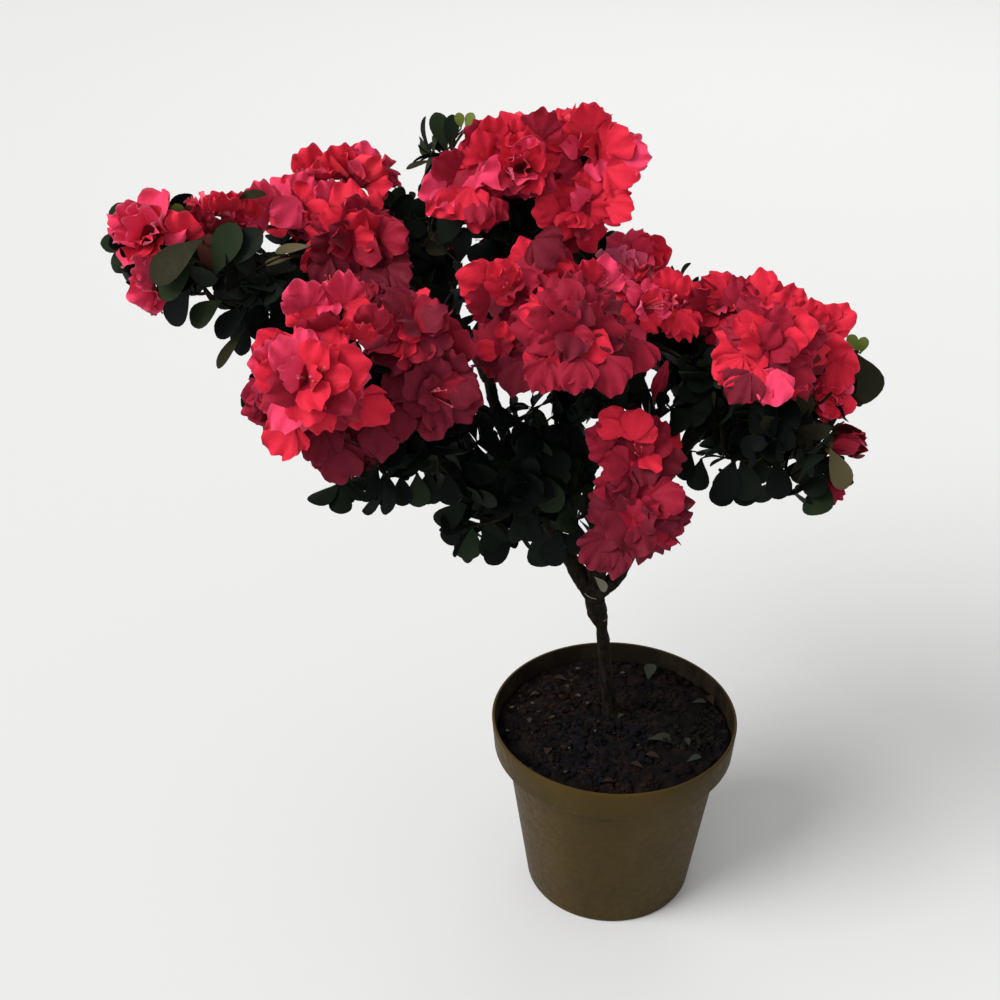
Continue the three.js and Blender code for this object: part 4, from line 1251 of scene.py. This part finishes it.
def petalPoints(tip, angle, length, plan):
    # the flat petal gets a rounded, uneven margin, ruffles and pleats, and is then laid along its lean
    x, h, z = petalBlade["points"].T
    half = np.interp(h, petalHeights, petalHalves)
    v = np.clip(x / half, -1, 1)
    wave = [draw(0, fullTurn) for _ in range(7)]
    lean, twist, fold = petalWay["lean"], petalWay["twist"], petalWay["fold"]
    first = plan["from"] + draw(-lean, lean) * petalWay["footLean"]
    last = plan["to"] + draw(-lean, lean)
    turn = draw(-twist, twist) * h
    cup = plan["cup"] * draw(*petalWay["cup"])
    breadth = plan["breadth"] * draw(*petalWay["breadth"])
    pleats, fold = draw(*petalWay["pleats"]), draw(-fold, fold)
    margin = np.maximum(np.clip((h - 0.5) / 0.5, 0, 1) ** 2, v**2 * np.clip(1.5 * h, 0, 1))
    around = v * (1 + 0.9 * (1 - h))
    pleated = np.sin(pleats * around + wave[0]) + 0.25 * np.sin(1.5 * pleats * around + wave[1])
    ruffle = plan["ruffle"] * h**1.3 * pleated * (0.4 + 0.8 * margin)
    ruffle = ruffle + fold * np.abs(v) * half * h + 0.035 * h * np.sin(6 * h + wave[2])
    notches = 0.04 * np.cos(0.8 * pleats * around + wave[0]) + 0.03 * np.sin(2.4 * around + wave[4])
    reach = (h - np.interp(h, petalHeights, petalHang) * v**2) * (1 + margin * notches)
    side = x * breadth * (1 + 0.04 * margin * np.sin(5 * h + wave[5]))
    lift = cup * v**2 * h + ruffle + z
    side, lift = side * np.cos(turn) - lift * np.sin(turn), side * np.sin(turn) + lift * np.cos(turn)
    leans = np.radians(first + (last - first) * np.clip(petalSteps, 0, 1.1) ** 0.85)
    tilt = np.interp(reach, petalSteps, leans)
    out = np.interp(reach, petalSteps, summedUp(np.sin(leans))) - lift * np.cos(tilt) + petalWay["footOut"]
    rise = np.interp(reach, petalSteps, summedUp(np.cos(leans))) + lift * np.sin(tilt)
    across = tip["other"] * math.cos(angle) - tip["side"] * math.sin(angle)
    laid = np.outer(out, aside(tip, angle)) + np.outer(rise, tip["axis"]) + np.outer(side, across)
    return tip["spot"] + laid * length


def addFlower(copies, tip, width, form, tone):
    firstTurn, slope = draw(0, fullTurn), 1 - math.cos(math.radians(form["spread"]))
    size = min(form["share"] * width, form["longest"])
    dome, count = bloomLook["closedDome"] * width, form["count"]
    if form["size"]:
        fewest, most = bloomLook["countLimits"]
        dome = max(0, 0.5 * width - bloomLook["petalSpan"] * size)
        count = round(count * min(most, max(fewest, (width / form["size"]) ** 2)))
    for i in range(count):
        outward = (i + 0.5) / count
        plan = {key: between(form[key], outward) for key in petalKeys}
        turn, polar = firstTurn + i * goldenAngle, math.acos(1 - outward * slope)
        radial = aside(tip, turn)
        rise = tip["axis"] * math.cos(polar) + radial * math.sin(polar)
        away = radial * math.cos(polar) - tip["axis"] * math.sin(polar)
        inset = away * form["inset"] * draw(*bloomLook["insetSpread"]) * width
        spot = tip["spot"] + rise * dome - inset
        own = {"spot": spot, "axis": rise, "side": away, "other": np.cross(tip["axis"], radial)}
        angle = math.radians(draw(-form["astray"], form["astray"]))
        tint = dealFrom(bloomTones[tone])
        way = away * bloomLook["wayAside"] + rise * bloomLook["wayUp"]
        # painted shade: petals that hang down may take the next darker tint
        if way[2] < bloomLook["hangsBelow"] and draw(0, 1) < bloomLook["paintedShadeBelow"]:
            tint = petalInsides[tint]  # half of the petals that hang are a step darker
        points = petalPoints(own, angle, plan["length"] * size * draw(*petalWay["length"]), plan)
        inside, throat = petalTint[petalInsides[tint]], petalTint["throat"]
        copies.add(petalBlade, points, petalTint[tint], inside, throat)


def addStamens(copies, tip, width):
    length = bloomLook["stamenLength"] * width
    for i in range(bloomLook["stamens"]):
        angle = draw(0, fullTurn)
        along, up = leaning(tip, angle, math.radians(draw(*bloomLook["stamenLean"])))
        arch = draw(*bloomLook["stamenArch"])
        points = leafPoints(stamenStalk, tip["spot"], along, up, length, 1, arch, 0)
        copies.add(stamenStalk, points, petalTint["stamen"])


def addSepals(copies, tip, length):
    plan = {"from": 44, "to": 26, "cup": 0.2, "breadth": 0.7, "ruffle": 0.02}
    for i in range(bloomLook["sepals"]):
        points = petalPoints(tip, i * fullTurn / bloomLook["sepals"], length, plan)
        copies.add(petalBlade, points, petalTint["sepal"])


def addBloom(copies, end, seed):
    sow(seed)
    tip, width = end["tip"], end["width"]
    form, tone, *_ = end["look"]
    addFlower(copies, tip, width, bloomForms[form], tone)
    if form == "open":
        addStamens(copies, tip, width)
    elif form != "ruffled":
        addSepals(copies, tip, width * bloomLook[form + "Sepals"])


setPetalLook = {
    "depthCounts": 0.4, "behindFront": 0.16, "length": (15, 18), "tuftFrom": 0.8, "ruffle": 0.1,
    "from": (48, 72), "to": (84, 100), "cup": (-0.05, 0.08),
    "left": {"turn": (0.4, 0.8), "scale": 0.85, "behind": 1.2},
    "right": {"turn": (-0.8, -0.4), "scale": 0.8, "behind": 1.8},
}


def addSetPetal(copies, foot, point, tint, breadth=1.02):
    # a petal that the photograph shows, its face to the viewer, with two smaller ones behind a broad one
    look, towards = setPetalLook, unit(viewer - foot)

    def distance(head):
        offset = foot - head["place"]
        return np.linalg.norm(np.cross(offset, towards)) + look["depthCounts"] * abs(offset.dot(towards))

    head = min(heads, key=distance)
    ahead = (foot - head["place"]).dot(towards) - look["behindFront"] * head["width"]
    if ahead > 0:
        foot, point = foot - towards * ahead, point - towards * ahead
    shortest, longest = look["length"]
    length = min(max(np.linalg.norm(point - foot), shortest), longest)
    along, axis = unit(point - foot), unit(viewer - foot)
    axis = unit(axis - along * along.dot(axis))
    tip = {"spot": point - along * length, "axis": axis, "side": along, "other": np.cross(axis, along)}
    tuft = [(0, 1, 0)]
    for petal in (look["left"], look["right"]):
        tuft.append((draw(*petal["turn"]), petal["scale"], petal["behind"]))
    for angle, scale, behind in tuft if breadth > look["tuftFrom"] else tuft[:1]:
        plan = {key: draw(*look[key]) for key in ("from", "to", "cup")}
        plan = {**plan, "breadth": breadth, "ruffle": look["ruffle"]}
        own = {**tip, "spot": tip["spot"] - axis * behind}
        points = petalPoints(own, angle, length * scale, plan)
        copies.add(petalBlade, points, petalTint[tint], petalTint[petalInsides[tint]])


petalCount = 0
for name, mass in masses.items():
    if not mass["blooms"]:
        continue
    copies = Copies()
    for index, end in enumerate(mass["ends"]):
        if end["width"]:
            addBloom(copies, end, mass["seed"] * growth["massSeedStep"] + bloomLook["seedStep"] * (index + 1))
    for row in setRows(mass, "petals"):
        addSetPetal(copies, *row)
    petalCount += len(copies.points)
    copies.makePiece("blossom_" + name, petalMaterials, ["foliage_" + name])
print("petals and stamens:", petalCount)


# The pot: one profile, drawn up the outside, over the rim and down the inside
pot = {
    "height": 107.7, "rim": 65, "rimRound": 0.8, "collar": 17.6, "collarFoot": 63.7, "collarStep": 1.2,
    "bodyTop": 57.2, "base": 45, "baseRound": 1.6, "wall": 1.7, "floor": 2.2, "segments": 128,
}


def lathe(profile, segments):
    # the profile starts at the middle of the underside; each step extrudes and resizes the top face
    clearSelection()
    (radius, height), *steps = profile
    bpy.ops.mesh.primitive_circle_add(
        vertices=segments, radius=radius * metre, fill_type="NGON", location=(0, 0, height * metre)
    )
    piece = bpy.context.active_object
    bpy.ops.object.transform_apply(location=True)
    bpy.ops.object.mode_set(mode="EDIT")
    bpy.ops.mesh.select_mode(type="FACE")
    bpy.ops.mesh.select_all(action="SELECT")
    for nextRadius, nextHeight in steps:
        climb = (0, 0, (nextHeight - height) * metre)
        bpy.ops.mesh.extrude_region_move(TRANSFORM_OT_translate={"value": climb})
        factor = nextRadius / radius
        bpy.ops.transform.resize(value=(factor, factor, 1), center_override=(0, 0, nextHeight * metre))
        radius, height = nextRadius, nextHeight
    closeShell()
    return piece


collarFoot = pot["height"] - pot["collar"]
shelf = collarFoot - 2 * pot["collarStep"]
innerCollar, innerBody, innerBase = (pot[key] - pot["wall"] for key in ("collarFoot", "bodyTop", "base"))
potProfile = [
    (pot["base"] - pot["baseRound"], 0),
    (pot["base"] - 0.45 * pot["baseRound"], 0.3),
    (pot["base"], pot["baseRound"]),
    (pot["bodyTop"] - 0.1, collarFoot - pot["collarStep"] - 1),
    (pot["bodyTop"] + 0.5, collarFoot - pot["collarStep"]),
    (pot["collarFoot"] - 0.5, collarFoot - 0.15),
    (pot["collarFoot"], collarFoot + 0.5),
    (pot["rim"] - 0.05, pot["height"] - 1.6),
    (pot["rim"], pot["height"] - pot["rimRound"]),
    (pot["rim"] - 0.25, pot["height"] - 0.2),
    (pot["rim"] - 0.8, pot["height"]),
    (pot["rim"] - 1.35, pot["height"] - 0.2),
    (pot["rim"] - pot["wall"], pot["height"] - pot["rimRound"]),
    (innerCollar, collarFoot + pot["collarStep"]),
    (innerBody, shelf),
    (innerBase, pot["floor"]),
]
potPiece = lathe(potProfile, pot["segments"])
bpy.ops.object.shade_smooth_by_angle(angle=math.radians(35))
potFinish = {
    "specular": 0.06, "grain": (300, 0.42, 0.58, 0.12, 0.0004),
    "mottle": {"Scale": 22, "Stretch": (1, 1, 0.6), "Edge Low": 0.35, "Edge High": 0.7},
    "scuffs": {
        "Scale": 240, "Stretch": (1, 1, 3), "Edge Low": 0.58, "Edge High": 0.72,
        "First": (1, 1, 1, 1), "Second": (0.72, 0.68, 0.6, 1),
    },
    "scuffed": 0.3,
}
paintedShadeWallFinish = {  # the inside of the wall, darker as painted shade
    "specular": 0.06, "grain": (500, 0.6, 0.85, 0.3, 0.0005),
    "mottle": {"Scale": 60, "Stretch": (1, 1, 0.5), "Edge Low": 0.45, "Edge High": 0.75},
}


def potMaterial():
    material = mottledMaterial("olivePlastic", (54, 42, 15), (68, 53, 22), potFinish)
    tree = material.node_tree
    principled = tree.nodes["Principled BSDF"]
    colours = principled.inputs["Base Color"].links[0].from_node
    scuffs = useGroup(tree, mottleGroup, potFinish["scuffs"])
    mix = tree.nodes.new("ShaderNodeMix")
    mix.data_type = "RGBA"
    mix.blend_type = "MULTIPLY"
    setInputs(mix, {"Factor": potFinish["scuffed"]})
    join(colours, "Colour", mix, "A")
    join(scuffs, "Colour", mix, "B")
    join(mix, "Result", principled, "Base Color")
    return material


# the faces inside the wall take the darker material as painted shade
for face in potPiece.data.polygons:
    middle, look = face.center, face.normal
    if middle.z < (pot["height"] - 0.1) * metre and middle.x * look.x + middle.y * look.y < 0:
        face.material_index = 1
paintedShadeWall = mottledMaterial("paintedShadeWall", (20, 16, 10), (42, 33, 19), paintedShadeWallFinish)
finishPiece(potPiece, "nursery_pot", [potMaterial(), paintedShadeWall], ["pot"])
print("pot done")

# The soil: a filled body whose top is lumpy, with crumbs, pale grit and dry litter on it
soil = {
    "level": 98.5, "edgeDrop": 1.5, "levelRadius": 48, "rings": 44, "segments": 128,
    "lumps": {"size": 0.011, "strength": 0.0045}, "crumbs": {"size": 0.0028, "strength": 0.0022},
}


def soilHeight(radius, edge):
    # level in the middle and lower towards its edge
    slope = max(0, (radius - soil["levelRadius"]) / (edge - soil["levelRadius"]))
    return soil["level"] - soil["edgeDrop"] * slope


soilEdge = innerCollar - fitGap
soilProfile = [
    (innerBase - 2 * fitGap, pot["floor"] + fitGap),
    (innerBody - 2 * fitGap, shelf),
    (innerCollar - 2 * fitGap, collarFoot + pot["collarStep"]),
    (soilEdge, soil["level"] - soil["edgeDrop"]),
]
for ring in range(1, soil["rings"]):
    radius = soilEdge * (1 - ring / soil["rings"])
    soilProfile.append((radius, soilHeight(radius, soilEdge)))
soilPiece = lathe(soilProfile, soil["segments"])
topGroup = soilPiece.vertex_groups.new(name="top")
topFrom = (soil["level"] - soil["edgeDrop"] - 0.1) * metre
topGroup.add([v.index for v in soilPiece.data.vertices if v.co.z > topFrom], 1, "REPLACE")
for key in ("lumps", "crumbs"):
    addRelief(soilPiece, "soil_" + key, soil[key], direction="Z", vertex_group="top")
applyModifiers(soilPiece)
bpy.ops.object.shade_smooth()
soilFinish = {
    "specular": 0.04, "grain": (1400, 0.75, 1, 0.8, 0.001),
    "mottle": {"Scale": 130, "Edge Low": 0.45, "Edge High": 0.65},
}
soilColours = {
    "peat": ((12, 10, 11), (29, 21, 18)), "redPeat": ((22, 14, 11), (40, 25, 19)),
    "darkPeat": ((10, 10, 14), (21, 19, 25)), "olivePeat": ((16, 15, 11), (29, 26, 18)),
    "paleGrit": ((52, 45, 37), (88, 79, 66)),
}
soilMaterials = {name: mottledMaterial(name, *pair, soilFinish) for name, pair in soilColours.items()}
finishPiece(soilPiece, "peat_soil", [soilMaterials["peat"]], ["potting_soil"])


def modelLump():
    clearSelection()
    bpy.ops.mesh.primitive_ico_sphere_add(subdivisions=1, radius=0.5)
    lump = bpy.context.active_object
    bpy.ops.object.mode_set(mode="EDIT")
    bpy.ops.mesh.select_all(action="SELECT")
    bpy.ops.mesh.subdivide(number_cuts=1, smoothness=0.6)
    bpy.ops.object.mode_set(mode="OBJECT")
    return takeShape(lump)


lump = modelLump()
lumpLook = {
    "smaller": 2.2, "squash": (0.7, 1.3), "low": (0.5, 0.9), "dents": (0.75, 1.25), "rise": 0.3,
    "wallClear": 1.5,
}
fleckLook = {"dents": (0.6, 1.4), "breadth": (0.5, 1), "low": 0.5, "rise": 0.8}


def dentedLump(low, high):
    dents = np.array([draw(low, high) for _ in range(len(lump["points"]))])
    return lump["points"] * dents[:, None]


def scatterLumps(name, count, sizes, area, seed, material, sunk=0.25, marked=()):
    # crumbs on a round area (its middle and radius), more small ones than large ones
    copies = Copies()
    sow(seed)
    for _ in range(count):
        angle, radius = draw(0, fullTurn), area[2] * math.sqrt(draw(0, 1))
        x, y = area[0] + radius * math.cos(angle), area[1] + radius * math.sin(angle)
        size = between(sizes, draw(0, 1) ** lumpLook["smaller"])
        squash = np.array([draw(*lumpLook[key]) for key in ("squash", "squash", "low")])
        shape = dentedLump(*lumpLook["dents"]) * squash * size
        turn = draw(0, fullTurn)
        level, across = math.cos(turn), math.sin(turn)
        spin = np.array(((level, -across, 0), (across, level, 0), (0, 0, 1)))
        if math.hypot(x, y) > innerCollar - lumpLook["wallClear"]:
            continue
        height = soilHeight(math.hypot(x, y), innerCollar) + size * (lumpLook["rise"] - sunk)
        copies.add(lump, shape @ spin.T + np.array((x, y, height)), 0)
    for x, y, size in marked:
        shape = dentedLump(*fleckLook["dents"])
        shape = shape * (size, size * draw(*fleckLook["breadth"]), size * fleckLook["low"])
        copies.add(lump, shape + (x, y, soil["level"] + fleckLook["rise"]), 0)
    copies.makePiece(name, [soilMaterials[material]])


scatterLumps("soil_crumbs", 900, (1.2, 5), (0, 0, 61), 501, "peat")
scatterLumps("soil_crumbs_red", 420, (1, 4.2), (-24, 18, 38), 502, "redPeat")
scatterLumps("soil_crumbs_dark", 420, (1.2, 4.6), (-10, -16, 30), 506, "darkPeat")
scatterLumps("soil_crumbs_front", 120, (1, 4), (0, -44, 20), 504, "redPeat")
scatterLumps("soil_crumbs_olive", 260, (1, 4), (38, 6, 26), 505, "olivePeat")
fleckPlaces = [  # flecks that the photograph shows, and their size
    (-43, 19, 3), (-24, 35, 3.2), (-18, 26, 3.4), (-17, 51, 2.6), (8, 47, 3), (-54, 16, 2.6), (-27, -37, 2.4),
    (-45, -35, 2.2), (-57, -4, 2.6), (-40, 12, 2.4), (-13, 20, 2.2), (12, -16, 2), (-10, -4, 1.8),
]
scatterLumps("soil_grit", 26, (0.7, 1.5), (-16, 4, 44), 503, "paleGrit", sunk=0, marked=fleckPlaces)

dryColours = {"dryGreyLeaf": (38, 42, 33), "dryBrownLeaf": (38, 26, 18), "dryTanLeaf": (49, 40, 31)}
litter = {
    "rise": 2.2, "breadth": 1.1, "arch": (-0.6, 0.8), "fold": 0.5, "tip": (-0.05, 0.15), "seed": 611,
    "leaves": [  # place on the soil, length, turn in degrees, which colour
        (26, -12, 17, 4, 0), (23, 45, 11, 75, 0), (38, -15, 5, 100, 0), (40, -29, 8, 20, 0),
        (19, -26, 8, 150, 1), (48, 19, 8, 4, 0), (-5, -45, 8, 20, 1), (-27, 40, 8, 160, 1),
        (54, 20, 7, 110, 1), (-41, 27, 7, 30, 2), (-45, 3, 4, 90, 2), (-33, 5, 4, 10, 2),
        (-36, -22, 7, 80, 1), (10, -34, 7, 150, 1), (4, 7, 5, 60, 0),
    ],
}
copies = Copies()
sow(litter["seed"])
for x, y, length, turn, colour in litter["leaves"]:
    along = np.array((math.cos(math.radians(turn)), math.sin(math.radians(turn)), draw(*litter["tip"])))
    foot = np.array((x, y, soil["level"] + litter["rise"])) - along * length / 2
    look = (length, litter["breadth"], draw(*litter["arch"]), litter["fold"])
    copies.add(leafBlade, leafPoints(leafBlade, foot, along, np.array((0, 0.2, 1.0)), *look), colour)
copies.makePiece("dry_litter", plainMaterials(dryColours, leafFinish))
print("soil done")

# Studio: pale floor, soft lights and the camera of the photograph
studio = {
    "floor": 24, "floorColour": (0.56, 0.56, 0.555, 1), "world": 0.62,
    "floorFinish": {"specular": 0.1, "shader": {"Roughness": 0.9}},
    "key": {"place": (-1.5, -1, 2), "towards": (0.78, 0.38, -0.8), "angle": 36, "power": 3.7},
    "fill": {"place": (-0.6, -1.6, 1.3), "size": 1.4, "power": 6},
    "back": {"place": (0.4, 1.7, 1.5), "size": 1.4, "power": 6},
}
camera = {"place": (-0.0607, -0.6667, 0.637), "tilt": 59.22, "lens": 57.09, "sensor": 36, "nearest": 0.01}


def addLamp(kind, name, towards):
    bpy.ops.object.light_add(type=kind, location=studio[name]["place"])
    lamp = bpy.context.active_object
    lamp.name = name + "_light"
    lamp.data.energy = studio[name]["power"]
    lamp.rotation_euler = towards.to_track_quat("-Z", "Y").to_euler()
    return lamp.data


clearSelection()
bpy.ops.mesh.primitive_plane_add(size=studio["floor"], location=(0, 0, 0))
floor = bpy.context.active_object
floor.name = "studio_floor"
floor.data.materials.append(plainMaterial("paleFloor", studio["floorColour"], studio["floorFinish"]))
floor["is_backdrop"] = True
for name in ("fill", "back"):
    towards = (cadLow + cadHigh) / 2 - Vector(studio[name]["place"])
    addLamp("AREA", name, towards).size = studio[name]["size"]
keyLamp = addLamp("SUN", "key", Vector(studio["key"]["towards"]))
keyLamp.angle = math.radians(studio["key"]["angle"])
world = bpy.data.worlds.new("softStudio")
world.use_nodes = True
setInputs(world.node_tree.nodes["Background"], {"Color": (1, 1, 1, 1), "Strength": studio["world"]})
bpy.context.scene.world = world
bpy.ops.object.camera_add(location=camera["place"], rotation=(math.radians(camera["tilt"]), 0, 0))
photoCamera = bpy.context.active_object
photoCamera.data.lens = camera["lens"]
photoCamera.data.sensor_width = camera["sensor"]
photoCamera.data.clip_start = camera["nearest"]
bpy.context.scene.camera = photoCamera
bpy.context.scene.view_settings.view_transform = "Standard"
print("studio done")

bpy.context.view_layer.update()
triangles = sum(sum(len(face.vertices) - 2 for face in piece.data.polygons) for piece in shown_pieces())
print("triangles in all:", triangles)
